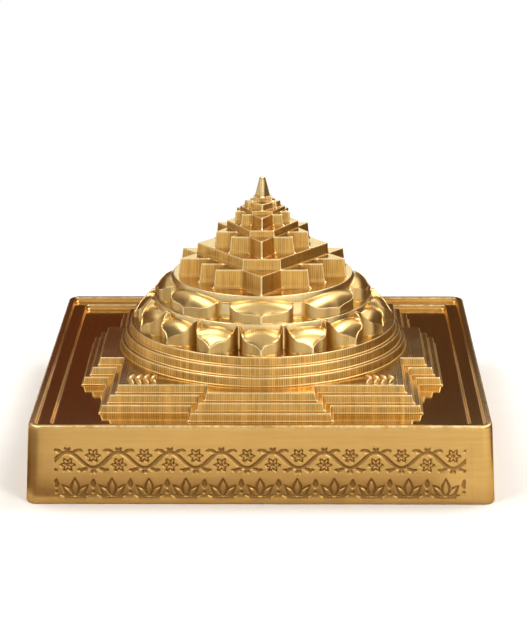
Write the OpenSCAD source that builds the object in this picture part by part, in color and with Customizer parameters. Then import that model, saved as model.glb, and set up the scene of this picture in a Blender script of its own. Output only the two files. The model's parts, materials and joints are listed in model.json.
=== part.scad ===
// Meru shri yantra: a stepped mountain of brass plates standing in a square tray.
// Every tier is a plate of its own. A square tie bar runs down through all of them
// and a nut under the tray draws the stack tight.
// Millimetres, +Z up, origin under the middle of the tray, front of the yantra towards -Y.

/* [Triangles] */
// Radius of the circle that the two largest triangles touch
yantra_r = 15.3; // [14:0.1:18]
// First base line, as a share of the circle's diameter counted from the back
line_1_share = 0.1354; // [0.125:0.0001:0.146]
// Third base line, the largest triangle that points to the front
line_3_share = 0.3646; // [0.354:0.0001:0.375]
// Seventh base line, the largest triangle that points to the back
line_7_share = 0.6146; // [0.604:0.0001:0.625]
// Ninth base line, the one nearest the front
line_9_share = 0.8542; // [0.844:0.0001:0.875]
// Height of the fourteen-point star
star_14_h = 3.2; // [2:0.05:5]
// Height of the step inside the fourteen-point star
step_14_h = 1.85; // [1:0.05:3]
// Height of the outer ten-point star
star_10_h = 2.85; // [1.5:0.05:4]
// Height of the step inside the outer ten-point star
step_10_h = 1.15; // [0.6:0.05:2]
// Height of the inner ten-point star
inner_10_h = 1.95; // [1:0.05:3]
// Height of the step inside the inner ten-point star
inner_step_h = 0.6; // [0.4:0.05:1.5]
// Height of the eight-point star
star_8_h = 1.05; // [0.6:0.05:2]
// Height of the step inside the eight-point star
step_8_h = 0.75; // [0.3:0.05:1.2]
// Lean of the star walls away from the upright, in degrees
star_draft = 5; // [0:0.5:7]
// How far a star's foot stays inside the lines it is drawn on
star_inset = 0.25; // [0.1:0.05:0.3]

/* [Spire] */
// Height of the centre triangle under the spire
spire_foot_h = 0.35; // [0.3:0.05:1]
// Height of the spire above the centre triangle
spire_h = 3.15; // [2:0.05:5]
// Radius of the rounded tip
spire_tip_r = 0.5; // [0.3:0.05:0.55]
// How far the spire's base stays inside the centre triangle
spire_base_inset = 0.22; // [0.2:0.01:0.4]
// How far the spire's neck stays inside the centre triangle
spire_neck_inset = 0.52; // [0.45:0.01:0.65]

/* [Lotuses] */
// Width of the ring of disc left outside the triangles' circle
disc_margin = 0.3; // [0.1:0.05:1]
// How far a lotus wall leans out between its disc and its petals
lotus_wall_lean = 0.2; // [0.1:0.05:0.4]

/* [Eight petals] */
// Height of the eight-petal lotus
lotus_8_h = 3.95; // [3.6:0.05:6]
// Half of the angle that one petal takes up, in degrees
petal_8_half_angle = 19; // [16:0.1:22]
// How far the shoulders of the petals stand out of the wall
petal_8_shoulder = 2.5; // [1.6:0.05:3.4]
// How far the points of the petals stand out of the shoulders
petal_8_point = 0.55; // [0.3:0.05:1.2]
// Height of the petals' points above the foot
petal_8_tip_h = 1.3; // [0.8:0.05:1.5]
// How far the ends of a petal's lip lie below the disc
petal_8_lip_drop = 1.4; // [0.6:0.05:1.6]
// How far the middle of a petal's upper line lies below the disc
petal_8_eye_drop = 0.6; // [0.3:0.05:0.9]
// How far the ends of a petal's upper line lie below the disc
petal_8_eye_end_drop = 1.3; // [0.4:0.05:1.5]
// Width of the ring of disc left outside the petals
lotus_8_margin = 0.05; // [0.05:0.05:1]

/* [Sixteen petals] */
// Height of the sixteen-petal lotus
lotus_16_h = 4.4; // [4.2:0.05:7]
// Half of the angle that one petal takes up, in degrees
petal_16_half_angle = 10.9; // [9:0.1:11]
// How far the shoulders of the petals stand out of the wall
petal_16_shoulder = 2.75; // [1.8:0.05:3.6]
// How far the points of the petals stand out of the shoulders
petal_16_point = 0.85; // [0.4:0.05:1.6]
// Height of the petals' points above the foot
petal_16_tip_h = 0.9; // [0.7:0.05:1.5]
// How far the ends of a petal's lip lie below the disc
petal_16_lip_drop = 0.3; // [0.2:0.05:0.6]
// How far the middle of a petal's upper line lies below the disc
petal_16_eye_drop = 0.75; // [0.4:0.05:1]
// How far the ends of a petal's upper line lie below the disc
petal_16_eye_end_drop = 1.5; // [1:0.05:1.8]
// Width of the ring of girdle left outside the petals
lotus_16_margin = 0.4; // [0.2:0.05:1.5]

/* [Girdles] */
// Height of each round girdle
girdle_h = 1.53; // [1:0.05:2.5]
// Width of the tread between one girdle and the next
girdle_tread = 0.7; // [0.4:0.05:2]
// Lean of a girdle wall, top to foot
girdle_lean = 0.15; // [0:0.05:0.4]
// How far the lowest girdle stays inside the gate corners of the upper terrace
girdle_corner_margin = 0.48; // [0.2:0.02:1.5]

/* [Gate terraces] */
// Height of each of the three terraces
terrace_h = 1.35; // [1:0.05:2]
// Width of the tread between one terrace and the next
terrace_tread = 1; // [0.6:0.05:2]
// Lean of a terrace wall, top to foot
terrace_lean = 0.3; // [0:0.05:0.5]
// Width of the gate on the upper terrace
gate_w = 17.9; // [12:0.1:24]
// How far a gate stands out of its wall
gate_out = 4.1; // [2:0.1:6]

/* [Base tray] */
// Height of the rim above the table
tray_h = 13.15; // [12.9:0.05:16]
// Height of the tray floor above the table
floor_h = 11.6; // [8:0.1:11.8]
// Drop from the rim to the ledge inside it
rim_drop = 0.75; // [0.3:0.05:1]
// Width of the flat band on the rim
rim_band = 1.1; // [0.6:0.05:2]
// Width of the ledge inside the rim
ledge_w = 2.3; // [1:0.1:4]
// Width of the floor between the ledge and the lower terrace's gates
channel_w = 3.3; // [1:0.1:6]
// Lean of the tray's outer walls, rim to table
tray_lean = 0.65; // [0:0.05:1]
// Radius of the tray's upright corners
tray_corner_r = 2; // [0.6:0.1:4]

/* [Tie bar] */
// Width of the square tie bar
bar_w = 2.4; // [2:0.1:2.6]
// Gap between the bar and the square holes, each side
bar_gap = 0.05; // [0.03:0.01:0.1]
// Diameter of the spire's round tail
tail_d = 1.2; // [0.8:0.05:1.3]
// Length of tail held in the bar
tail_grip = 4; // [2:0.1:8]
// Gap between the tail and its holes, all round
tail_gap = 0.03; // [0.02:0.01:0.08]
// Gap between the bar's upper end and the eight-point star
bar_end_gap = 0.1; // [0.05:0.05:0.3]
// Diameter of the threaded spigot at the bar's foot
spigot_d = 2; // [1.6:0.1:2.2]
// Gap between the spigot and the nut and washer, all round
spigot_gap = 0.05; // [0.03:0.01:0.1]
// Diameter of the counterbore under the tray
pocket_d = 8; // [7:0.1:12]
// Depth of the counterbore under the tray
pocket_depth = 3.5; // [3:0.1:5]
// Diameter of the washer
washer_d = 6; // [5:0.1:6.8]
// Thickness of the washer
washer_t = 0.5; // [0.3:0.05:0.8]
// Width of the nut across its flats
nut_w = 4; // [3.6:0.1:5]
// Thickness of the nut
nut_t = 1.6; // [1:0.1:1.8]
// Length of spigot that shows below the nut
spigot_end = 0.5; // [0.2:0.1:0.6]

/* [Hidden] */
$fn = 96;
tiny = 0.001;
brass = "#c9963f";
bright_brass = "#e0b868";
dull_brass = "#a87a32";

// The nine triangles. Lines are numbered from the back. Triangles 1 to 5 point to the front and
// 6 to 9 to the back. A right-hand side is [slope, apex], with x = slope * (y - apex).
function line_y(share) = yantra_r * (1 - 2 * share);
function chord_x(y) = sqrt(yantra_r * yantra_r - y * y);
function side(apex, x, y) = [x / (y - apex), apex];
function side_x(s, y) = s[0] * (y - s[1]);
function sides_meet(a, b) = (a[0] * a[1] - b[0] * b[1]) / (a[0] - b[0]);

// Four lines are chosen. The rest follow from where sides and lines have to meet in one point.
y1 = line_y(line_1_share);
y3 = line_y(line_3_share);
y7 = line_y(line_7_share);
y9 = line_y(line_9_share);
side_3 = side(-yantra_r, chord_x(y3), y3);
side_7 = side(yantra_r, chord_x(y7), y7);
side_2 = side(y9, side_x(side_7, y3), y3);
side_9 = side(y3, side_x(side_2, y7), y7);
y8 = sides_meet(side_3, side_9);
side_8 = side(y1, side_x(side_3, y7), y7);

// The sixth line is the one height at which sides 1 and 6 also meet on line 4.
// It is found by the secant rule.
function side_1_from(y) = side(y, side_x(side_8, y3), y3);
function side_4_from(y) = side(y8, side_x(side_9, y), y);
function side_6_from(y) = side(sides_meet(side_1_from(y), side_7), side_x(side_2, y), y);
function line_4_from(y) = sides_meet(side_4_from(y), side_8);
function miss(y) = side_x(side_1_from(y), line_4_from(y)) - side_x(side_6_from(y), line_4_from(y));
function closed(a, b, turns) =
    turns == 0 || abs(miss(b)) < tiny * tiny ? b :
    closed(b, b - miss(b) * (b - a) / (miss(b) - miss(a)), turns - 1);
secant_turns = 12;
first_guess = y7 + (y3 - y7) / 4;
second_guess = y7 + (y3 - y7) / 3;
y6 = closed(first_guess, second_guess, secant_turns);
side_1 = side_1_from(y6);
side_4 = side_4_from(y6);
side_6 = side_6_from(y6);
y2 = sides_meet(side_1, side_7);
y4 = line_4_from(y6);
y5 = sides_meet(side_1, side_9);
side_5 = side(y7, side_x(side_6, y5), y5);

// Walls as [normal x, normal y, distance], with the normal pointing out of the triangle.
function side_wall(s) = [1, -s[0], -s[0] * s[1]] / norm([1, s[0]]);
function back_wall(y) = [0, 1, y];
function front_wall(y) = [0, -1, -y];
function mirrored(w) = [-w[0], w[1], w[2]];
D1 = side_wall(side_1);
D2 = side_wall(side_2);
D3 = side_wall(side_3);
D4 = side_wall(side_4);
D5 = side_wall(side_5);
U6 = side_wall(side_6);
U7 = side_wall(side_7);
U8 = side_wall(side_8);
U9 = side_wall(side_9);
B1 = back_wall(y1);
B2 = back_wall(y2);
B3 = back_wall(y3);
B4 = back_wall(y4);
B5 = back_wall(y5);
F6 = front_wall(y6);
F7 = front_wall(y7);
F8 = front_wall(y8);
F9 = front_wall(y9);

// The right half of each tier, wall by wall from the front to the back. A tier is where that many
// triangles or more lie over each other: one for the first star, nine for the centre triangle.
star_14_walls = [D3, F9, U9, F8, U8, F7, U7, D3, B3, D2, B2, D1, B1, U7];
step_14_walls = [F9, D3, U7, B1];
star_10_walls = [D2, F8, U9, F7, U8, D2, B3, D1, B2, U8];
step_10_walls = [F8, D2, U8, B2];
inner_10_walls = [D4, F7, U9, F6, U6, D4, B4, D1, B3, U6];
inner_step_walls = [F7, D4, U6, B3];
star_8_walls = [D5, F6, U9, D5, B5, D1, B4, U9];
step_8_walls = [F6, D5, U9, B4];
centre_walls = [D1, B5];

// Where two walls meet when both are moved in by the same amount.
function wall_corner(a, b, inset) =
    let (k = a[0] * b[1] - a[1] * b[0], p = a[2] - inset, q = b[2] - inset)
    [(p * b[1] - q * a[1]) / k, (a[0] * q - b[0] * p) / k];
function axis_corner(w, inset) = w[0] == 0 ? [] : [wall_corner(mirrored(w), w, inset)];
function half_outline(walls, inset) = concat(
    axis_corner(walls[0], inset),
    [for (i = [0:len(walls) - 2]) wall_corner(walls[i], walls[i + 1], inset)],
    axis_corner(mirrored(walls[len(walls) - 1]), inset));
function outline(walls, inset) =
    let (half = half_outline(walls, inset), n = len(half))
    concat(half, [for (i = [n - 1:-1:0]) if (half[i][0] > tiny) [-half[i][0], half[i][1]]]);

// Heights of the tiers' feet, from the table up.
girdle_z = floor_h + 3 * terrace_h;
lotus_16_z = girdle_z + 3 * girdle_h;
lotus_8_z = lotus_16_z + lotus_16_h;
star_14_z = lotus_8_z + lotus_8_h;
step_14_z = star_14_z + star_14_h;
star_10_z = step_14_z + step_14_h;
step_10_z = star_10_z + star_10_h;
inner_10_z = step_10_z + step_10_h;
inner_step_z = inner_10_z + inner_10_h;
star_8_z = inner_step_z + inner_step_h;
step_8_z = star_8_z + star_8_h;
spire_z = step_8_z + step_8_h;

// Widths, from the triangles outwards.
disc_8_r = yantra_r + disc_margin;
petal_8_reach = lotus_wall_lean + petal_8_shoulder + petal_8_point;
disc_16_r = disc_8_r + petal_8_reach + lotus_8_margin;
petal_16_reach = lotus_wall_lean + petal_16_shoulder + petal_16_point;
girdle_r = disc_16_r + petal_16_reach + lotus_16_margin;
girdle_pitch = girdle_tread + girdle_lean;
gate_corner_r = girdle_r + 2 * girdle_pitch + girdle_lean + girdle_corner_margin;
gate_half = gate_w / 2;
terrace_half = sqrt(gate_corner_r * gate_corner_r - gate_half * gate_half);
terrace_pitch = terrace_tread + terrace_lean;
channel_half = terrace_half + 2 * terrace_pitch + terrace_lean + gate_out + channel_w;
ledge_half = channel_half + ledge_w;
rim_half = ledge_half + rim_band;
tray_half = rim_half + tray_lean;

// Tie bar.
hole_w = bar_w + 2 * bar_gap;
bar_top = star_8_z - bar_end_gap;
washer_z = pocket_depth - washer_t;
nut_z = washer_z - nut_t;
spigot_z = nut_z - spigot_end;

// A plate between two outlines of equally many points, so its walls may lean.
// Its flat sides are fans about the axis, from which every point of an outline can be seen.
module leaning_plate(foot, top, h) {
    n = len(foot);
    points = concat([for (p = foot) [p[0], p[1], 0]], [for (p = top) [p[0], p[1], h]], [[0, 0, 0], [0, 0, h]]);
    faces = [for (i = [0:n - 1])
        let (j = (i + 1) % n)
        each [[i, i + n, j + n], [i, j + n, j], [2 * n, i, j], [2 * n + 1, j + n, i + n]]];
    polyhedron(points, faces);
}

// The square hole that the plates have for the tie bar, through a plate of height h.
module bar_hole(h) {
    translate([-hole_w / 2, -hole_w / 2, -1])
        cube([hole_w, hole_w, h + 2]);
}

// The round hole that the two smallest plates have for the spire's tail.
module tail_hole(h) {
    translate([0, 0, -1])
        cylinder(h = h + 2, d = tail_d + 2 * tail_gap);
}

// A star or step of the triangles, with its walls drawn in towards the top.
module star_plate(walls, z, h, foot_inset = star_inset) {
    top_inset = foot_inset + h * tan(star_draft);
    translate([0, 0, z])
        difference() {
            leaning_plate(outline(walls, foot_inset), outline(walls, top_inset), h);
            children();
        }
}

// A lotus tier. Its wall leans out from the disc to the eye line, where each petal's dome starts.
// The dome is round above and hollow below, by a power of the sine. It falls to the lip, and a steep wall drops
// from there to the foot.
// The lip is an ogee: bowed up to its ends, and drawn out and down to a spur in the middle.
// Seen from above, a petal keeps its shoulder nearly to its ends, which are drawn in by a share of it.
petal_stations = [0, 0.06, 0.13, 0.21, 0.3, 0.42, 0.6, 0.78, 0.92, 1];
gap_slope = 0.2;
spur_power = 1.6;
lip_band = 0.06;
lip_step = 0.08;
lip_end_share = 0.94;
dome_steps = 4;
foot_flare = 0.06;
module lotus(petals, half_angle, disc_r, h, shoulder, point, tip_h, lip_drop, eye_drop, eye_end_drop,
        dome_power, end_round, round_power, spur_share, spur_part, lip_power) {
    wall_r = disc_r + lotus_wall_lean;
    function spur(u) = u > spur_share ? 0 : pow(1 - u / spur_share, spur_power);
    function bow(u) = pow(min(u / lip_end_share, 1), lip_power);
    function shoulder_r(u, full) = wall_r + full * shoulder * (1 - end_round * pow(u, round_power));
    function lip_r(u, full) = shoulder_r(u, full) + lip_band + (point - lip_band - foot_flare) * spur(u);
    function lip_z(u) = tip_h + (h - lip_drop - tip_h) * (spur_part * (1 - spur(u)) + (1 - spur_part) * bow(u));
    function eye_z(u) = max(h - eye_drop + (eye_drop - eye_end_drop) * u * u, lip_z(u) + lip_step);
    function dome(u, full, a) = [
        wall_r + (shoulder_r(u, full) - wall_r) * cos(a),
        lip_z(u) + (eye_z(u) - lip_z(u)) * pow(sin(a), dome_power)];
    function section(u, full) = concat(
        [[disc_r, h]],
        [for (k = [dome_steps:-1:0]) dome(u, full, 90 * k / dome_steps)],
        [[lip_r(u, full), lip_z(u)], [lip_r(u, full) + foot_flare, 0]]);
    n = len(petal_stations);
    turns = concat([for (k = [n - 1:-1:1]) -petal_stations[k]], petal_stations);
    gap_angle = half_angle + gap_slope;
    petal_cuts = concat(
        [[-gap_angle, 1, 0]],
        [for (t = turns) [t * half_angle, abs(t), 1]],
        [[gap_angle, 1, 0]]);
    cuts = [for (p = [0:petals - 1]) for (c = petal_cuts) [p * 360 / petals - 90 + c[0], c[1], c[2]]];
    cut_n = len(cuts);
    rows = dome_steps + 4;
    skin_points = [for (c = cuts) for (q = section(c[1], c[2])) [q[0] * cos(c[0]), q[0] * sin(c[0]), q[1]]];
    faces = [for (i = [0:cut_n - 1])
        let (a = i * rows, b = (i + 1) % cut_n * rows)
        each concat(
            [for (j = [0:rows - 2]) each [[a + j, b + j, b + j + 1], [a + j, b + j + 1, a + j + 1]]],
            [[cut_n * rows, b, a], [cut_n * rows + 1, a + rows - 1, b + rows - 1]])];
    difference() {
        polyhedron(concat(skin_points, [[0, 0, h], [0, 0, 0]]), faces);
        bar_hole(h);
    }
}

// Outline of a square with a gate standing out of the middle of each side.
function gated_square(half, gate_half, gate_front) = [
    for (a = [0:90:270])
        for (p = [[-gate_half, -half], [-gate_half, -gate_front], [gate_half, -gate_front],
            [gate_half, -half], [half, -half]])
            [p[0] * cos(a) - p[1] * sin(a), p[0] * sin(a) + p[1] * cos(a)]];

// A gated terrace, counted from the upper one down.
module terrace(rank) {
    spread = rank * terrace_pitch;
    foot_spread = spread + terrace_lean;
    translate([0, 0, floor_h + (2 - rank) * terrace_h])
        difference() {
            leaning_plate(
                gated_square(terrace_half + foot_spread, gate_half + foot_spread,
                    terrace_half + gate_out + foot_spread),
                gated_square(terrace_half + spread, gate_half + spread, terrace_half + gate_out + spread),
                terrace_h);
            bar_hole(terrace_h);
        }
}

// A round girdle, counted from the top one down.
module girdle(rank) {
    top_r = girdle_r + rank * girdle_pitch;
    translate([0, 0, girdle_z + (2 - rank) * girdle_h])
        difference() {
            cylinder(h = girdle_h, r1 = top_r + girdle_lean, r2 = top_r);
            bar_hole(girdle_h);
        }
}

// Outline of a square with round corners.
corner_steps = 8;
function round_square(half, r) = [
    for (a = [-90:90:180])
        for (k = [0:corner_steps])
            let (t = a + k * 90 / corner_steps, c = a + 45)
            [sign(cos(c)) * (half - r) + r * cos(t), sign(sin(c)) * (half - r) + r * sin(t)]];

module base_tray() color(dull_brass) {
    difference() {
        leaning_plate(round_square(tray_half, tray_corner_r), round_square(rim_half, tray_corner_r), tray_h);
        translate([-ledge_half, -ledge_half, tray_h - rim_drop])
            cube([2 * ledge_half, 2 * ledge_half, tray_h]);
        translate([-channel_half, -channel_half, floor_h])
            cube([2 * channel_half, 2 * channel_half, tray_h]);
        bar_hole(tray_h);
        translate([0, 0, -1])
            cylinder(h = pocket_depth + 1, d = pocket_d);
    }
}

module lower_terrace() color(brass) terrace(2);
module middle_terrace() color(brass) terrace(1);
module upper_terrace() color(brass) terrace(0);

module lower_girdle() color(brass) girdle(2);
module middle_girdle() color(brass) girdle(1);
module upper_girdle() color(brass) girdle(0);

module sixteen_petal_lotus() color(bright_brass)
    translate([0, 0, lotus_16_z])
        lotus(petals = 16, half_angle = petal_16_half_angle, disc_r = disc_16_r, h = lotus_16_h,
            shoulder = petal_16_shoulder, point = petal_16_point, tip_h = petal_16_tip_h,
            lip_drop = petal_16_lip_drop, eye_drop = petal_16_eye_drop, eye_end_drop = petal_16_eye_end_drop,
            dome_power = 1.6, end_round = 1, round_power = 5,
            spur_share = 0.42, spur_part = 0.3, lip_power = 4.5);

module eight_petal_lotus() color(bright_brass)
    translate([0, 0, lotus_8_z])
        lotus(petals = 8, half_angle = petal_8_half_angle, disc_r = disc_8_r, h = lotus_8_h,
            shoulder = petal_8_shoulder, point = petal_8_point, tip_h = petal_8_tip_h,
            lip_drop = petal_8_lip_drop, eye_drop = petal_8_eye_drop, eye_end_drop = petal_8_eye_end_drop,
            dome_power = 1.8, end_round = 0.75, round_power = 7,
            spur_share = 0.35, spur_part = 0.22, lip_power = 4);

module fourteen_point_star() color(brass)
    star_plate(star_14_walls, star_14_z, star_14_h, 0) bar_hole(star_14_h);
module fourteen_star_step() color(brass)
    star_plate(step_14_walls, step_14_z, step_14_h) bar_hole(step_14_h);
module outer_ten_point_star() color(brass)
    star_plate(star_10_walls, star_10_z, star_10_h) bar_hole(star_10_h);
module outer_ten_star_step() color(brass)
    star_plate(step_10_walls, step_10_z, step_10_h) bar_hole(step_10_h);
module inner_ten_point_star() color(brass)
    star_plate(inner_10_walls, inner_10_z, inner_10_h) bar_hole(inner_10_h);
module inner_ten_star_step() color(brass)
    star_plate(inner_step_walls, inner_step_z, inner_step_h) bar_hole(inner_step_h);
module eight_point_star() color(brass)
    star_plate(star_8_walls, star_8_z, star_8_h) tail_hole(star_8_h);
module eight_star_step() color(brass)
    star_plate(step_8_walls, step_8_z, step_8_h) tail_hole(step_8_h);

// Middle of the centre triangle, where its three walls are equally far.
centre_reach = side_x(side_9, y5);
centre_inradius = centre_reach * (y5 - y6) / (centre_reach + norm([centre_reach, y5 - y6]));
centre_y = y5 - centre_inradius;
spire_foot_inset = 0.1;

module bindu_spire() color(bright_brass) {
    star_plate(centre_walls, spire_z, spire_foot_h, spire_foot_inset);
    translate([0, 0, spire_z + spire_foot_h]) {
        leaning_plate(outline(centre_walls, spire_base_inset), outline(centre_walls, spire_neck_inset),
            spire_h - spire_tip_r);
        translate([0, centre_y, spire_h - spire_tip_r])
            sphere(r = spire_tip_r, $fn = 24);
    }
    translate([0, 0, bar_top - tail_grip])
        cylinder(h = spire_z + tiny - bar_top + tail_grip, d = tail_d);
}

module tie_bar() color("silver") {
    difference() {
        translate([-bar_w / 2, -bar_w / 2, pocket_depth])
            cube([bar_w, bar_w, bar_top - pocket_depth]);
        translate([0, 0, bar_top - tail_grip])
            cylinder(h = tail_grip + 1, d = tail_d + 2 * tail_gap);
    }
    translate([0, 0, spigot_z])
        cylinder(h = pocket_depth - spigot_z + tiny, d = spigot_d);
}

module tie_washer() color("silver")
    translate([0, 0, washer_z])
        difference() {
            cylinder(h = washer_t, d = washer_d);
            translate([0, 0, -1])
                cylinder(h = washer_t + 2, d = spigot_d + 2 * spigot_gap);
        }

module tie_nut() color("silver")
    translate([0, 0, nut_z])
        difference() {
            cylinder(h = nut_t, d = nut_w / cos(30), $fn = 6);
            translate([0, 0, -1])
                cylinder(h = nut_t + 2, d = spigot_d + 2 * spigot_gap);
        }

base_tray();
lower_terrace();
middle_terrace();
upper_terrace();
lower_girdle();
middle_girdle();
upper_girdle();
sixteen_petal_lotus();
eight_petal_lotus();
fourteen_point_star();
fourteen_star_step();
outer_ten_point_star();
outer_ten_star_step();
inner_ten_point_star();
inner_ten_star_step();
eight_point_star();
eight_star_step();
bindu_spire();
tie_bar();
tie_washer();
tie_nut();
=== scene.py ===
# %% [markdown]
# # A meru shri yantra in brass
# The real object is a small stepped mountain: nine interlocking triangles rise in tiers over two lotuses,
# three round girdles and three gated terraces, and the whole stands in a square tray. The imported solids
# already have the right sizes, so this lesson dresses them: every tier is drawn again as a fine surface. A
# bevel on the solids could round their edges too, but it can't sweep a hollow into the foot of a wall or
# remember which edges are worn. A surface worked out from a formula can do both.

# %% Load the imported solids
import json
import bmesh
import bpy
import numpy as np
from mathutils import Matrix, Vector

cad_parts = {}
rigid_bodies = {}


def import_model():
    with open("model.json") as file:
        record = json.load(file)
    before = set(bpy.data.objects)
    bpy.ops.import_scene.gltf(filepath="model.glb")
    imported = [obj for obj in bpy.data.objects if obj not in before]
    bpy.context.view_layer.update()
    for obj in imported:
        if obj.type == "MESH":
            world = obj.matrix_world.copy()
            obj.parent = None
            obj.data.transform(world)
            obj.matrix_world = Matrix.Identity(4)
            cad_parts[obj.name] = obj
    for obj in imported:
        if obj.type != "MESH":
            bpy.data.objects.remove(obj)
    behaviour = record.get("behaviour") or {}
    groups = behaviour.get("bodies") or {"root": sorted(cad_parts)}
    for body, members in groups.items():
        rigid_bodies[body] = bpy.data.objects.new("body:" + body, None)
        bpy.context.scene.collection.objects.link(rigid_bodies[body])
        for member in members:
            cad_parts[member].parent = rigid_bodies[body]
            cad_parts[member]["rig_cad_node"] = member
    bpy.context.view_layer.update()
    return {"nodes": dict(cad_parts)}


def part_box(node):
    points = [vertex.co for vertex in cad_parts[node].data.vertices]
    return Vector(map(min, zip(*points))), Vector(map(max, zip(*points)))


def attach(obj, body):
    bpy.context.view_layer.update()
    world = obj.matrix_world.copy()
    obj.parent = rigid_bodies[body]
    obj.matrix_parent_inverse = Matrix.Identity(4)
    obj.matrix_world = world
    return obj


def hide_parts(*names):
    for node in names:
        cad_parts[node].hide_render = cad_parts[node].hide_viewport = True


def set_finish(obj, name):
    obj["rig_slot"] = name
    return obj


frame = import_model()
MM = 0.001
print("nodes:", len(frame["nodes"]))


def node_box(node):
    """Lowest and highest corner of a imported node, in millimetres."""
    low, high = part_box(node)
    return np.array(low) / MM, np.array(high) / MM


# %% [markdown]
# ## From a grid of points to a piece
# Almost everything here is a profile carried round a closed path. Such a surface is a grid: each row is one
# height of the profile, each column one place on the path. Joining the last row to the first closes the
# plate through the hole for the tie bar, so no piece needs a cap. A second number per point, for wear and
# painted light, is kept with the mesh: it is up to +1 on edges that hands and polish reach and where a
# highlight is painted, and below 0 in corners and where shade is painted. Painting that by hand would be
# the other way, but here every row already knows whether it is an edge or a corner.

# %% Grid to mesh
WELD = 1e-7


def grid_faces(count, width, wrap):
    """Corner numbers of the four-sided faces between neighbouring rows and columns of a grid.
    The columns always close in a ring, and with wrap the last row also joins the first."""
    index = np.arange(count * width).reshape(count, width)
    lower = index if wrap else index[:-1]
    upper = np.roll(index, -1, 0) if wrap else index[1:]
    return np.stack([lower, np.roll(lower, -1, 1), np.roll(upper, -1, 1), upper], -1).reshape(-1, 4)


def finish_piece(name, points, faces, wear_and_painted_light, slot, node=None):
    """Puts points, faces and the number for rubbing and painted light into a smooth mesh object that rides
    on the one body there is.
    """
    mesh = bpy.data.meshes.new(name)
    mesh.from_pydata((points * MM).tolist(), [], [list(f) for f in faces])
    # One number per point for wear and for painted light and shade.
    mesh.attributes.new("wear_and_painted_light", "FLOAT", "POINT").data.foreach_set("value", wear_and_painted_light.astype(np.float32))
    mesh.polygons.foreach_set("use_smooth", np.ones(len(mesh.polygons), bool))
    piece = bpy.data.objects.new(name, mesh)
    bpy.context.scene.collection.objects.link(piece)
    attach(piece, "root")
    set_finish(piece, slot)
    if node:
        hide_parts(node)
    return piece


def weld(piece):
    """Joins points that lie in one place, so that a row drawn together into a point closes the surface."""
    shell = bmesh.new()
    shell.from_mesh(piece.data)
    bmesh.ops.remove_doubles(shell, verts=shell.verts, dist=WELD)
    shell.to_mesh(piece.data)
    shell.free()


def grid_piece(name, rows, wear_and_painted_light, slot, node=None, wrap=True):
    """A piece from rows of points, each row a closed loop of equally many points."""
    rows = np.array(rows)
    faces = grid_faces(rows.shape[0], rows.shape[1], wrap)
    piece = finish_piece(name, rows.reshape(-1, 3), faces, np.array(wear_and_painted_light).ravel(), slot, node)
    if not wrap:
        weld(piece)
    print(f"{name}: {len(piece.data.vertices)} points, {len(piece.data.polygons)} faces")
    return piece


# %% Plates with a hole
BAR_HOLE = node_box("tie_bar")[1][0] + 0.05
TAIL_HOLE = 0.63


def directions(angle):
    """Unit vectors (cos, sin) at the given angles round the axis."""
    return np.stack([np.cos(angle), np.sin(angle)], -1)


def hole_loop(path, half, square=True):
    """A hole round the axis, with one point for each point of the path at the same angle.
    Its reach is half / max(|cos|, |sin|) for a square hole and half for a round one."""
    way = directions(np.arctan2(path[:, 1], path[:, 0]))
    return way * half / (np.abs(way).max(1)[:, None] if square else 1)


def at_height(loop, z):
    """A flat loop of points lifted to height z."""
    return np.column_stack([loop, np.full(len(loop), float(z))])


def holed_piece(node, rows, wear_and_painted_light, slot, hole=BAR_HOLE, square=True):
    """A tier from its rows, foot to tread, closed by the upper and the lower edge of its hole."""
    edges = [at_height(hole_loop(row, hole, square), row[0, 2]) for row in (rows[-1], rows[0])]
    wear_and_painted_light = wear_and_painted_light + [np.zeros(len(row)) for row in edges]
    return grid_piece(node + "_skin", rows + edges, wear_and_painted_light, slot, node)


print("half width of the bar hole:", round(BAR_HOLE, 3), "radius of the tail hole:", TAIL_HOLE)


# %% [markdown]
# ## The nine triangles
# The heart of the real object is a drawing of nine triangles, milled as a stack of stars. One could measure
# its corners, but they would never quite meet: in this figure three lines have to pass through one point
# again and again. So four base lines are chosen and the other five follow from the crossings. Triangles 1
# to 5 point to the front and 6 to 9 to the back. The right-hand side of a triangle is kept as slope and
# apex, so that x = slope * (y - apex).

# %% The figure
star_low, star_high = node_box("fourteen_point_star")
YANTRA_R = (star_high[1] - star_low[1]) / 2
LINE_SHARES = {1: 0.1354, 3: 0.3646, 7: 0.6146, 9: 0.8542}
CLOSED = 1e-9


def side_through(apex, x, y):
    """The side from an apex on the axis through the point (x, y)."""
    return x / (y - apex), apex


def side_x(side, y):
    """Where a side is at height y of the figure."""
    return side[0] * (y - side[1])


def sides_meet(a, b):
    """Height y at which two sides cross."""
    return (a[0] * a[1] - b[0] * b[1]) / (a[0] - b[0])


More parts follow.
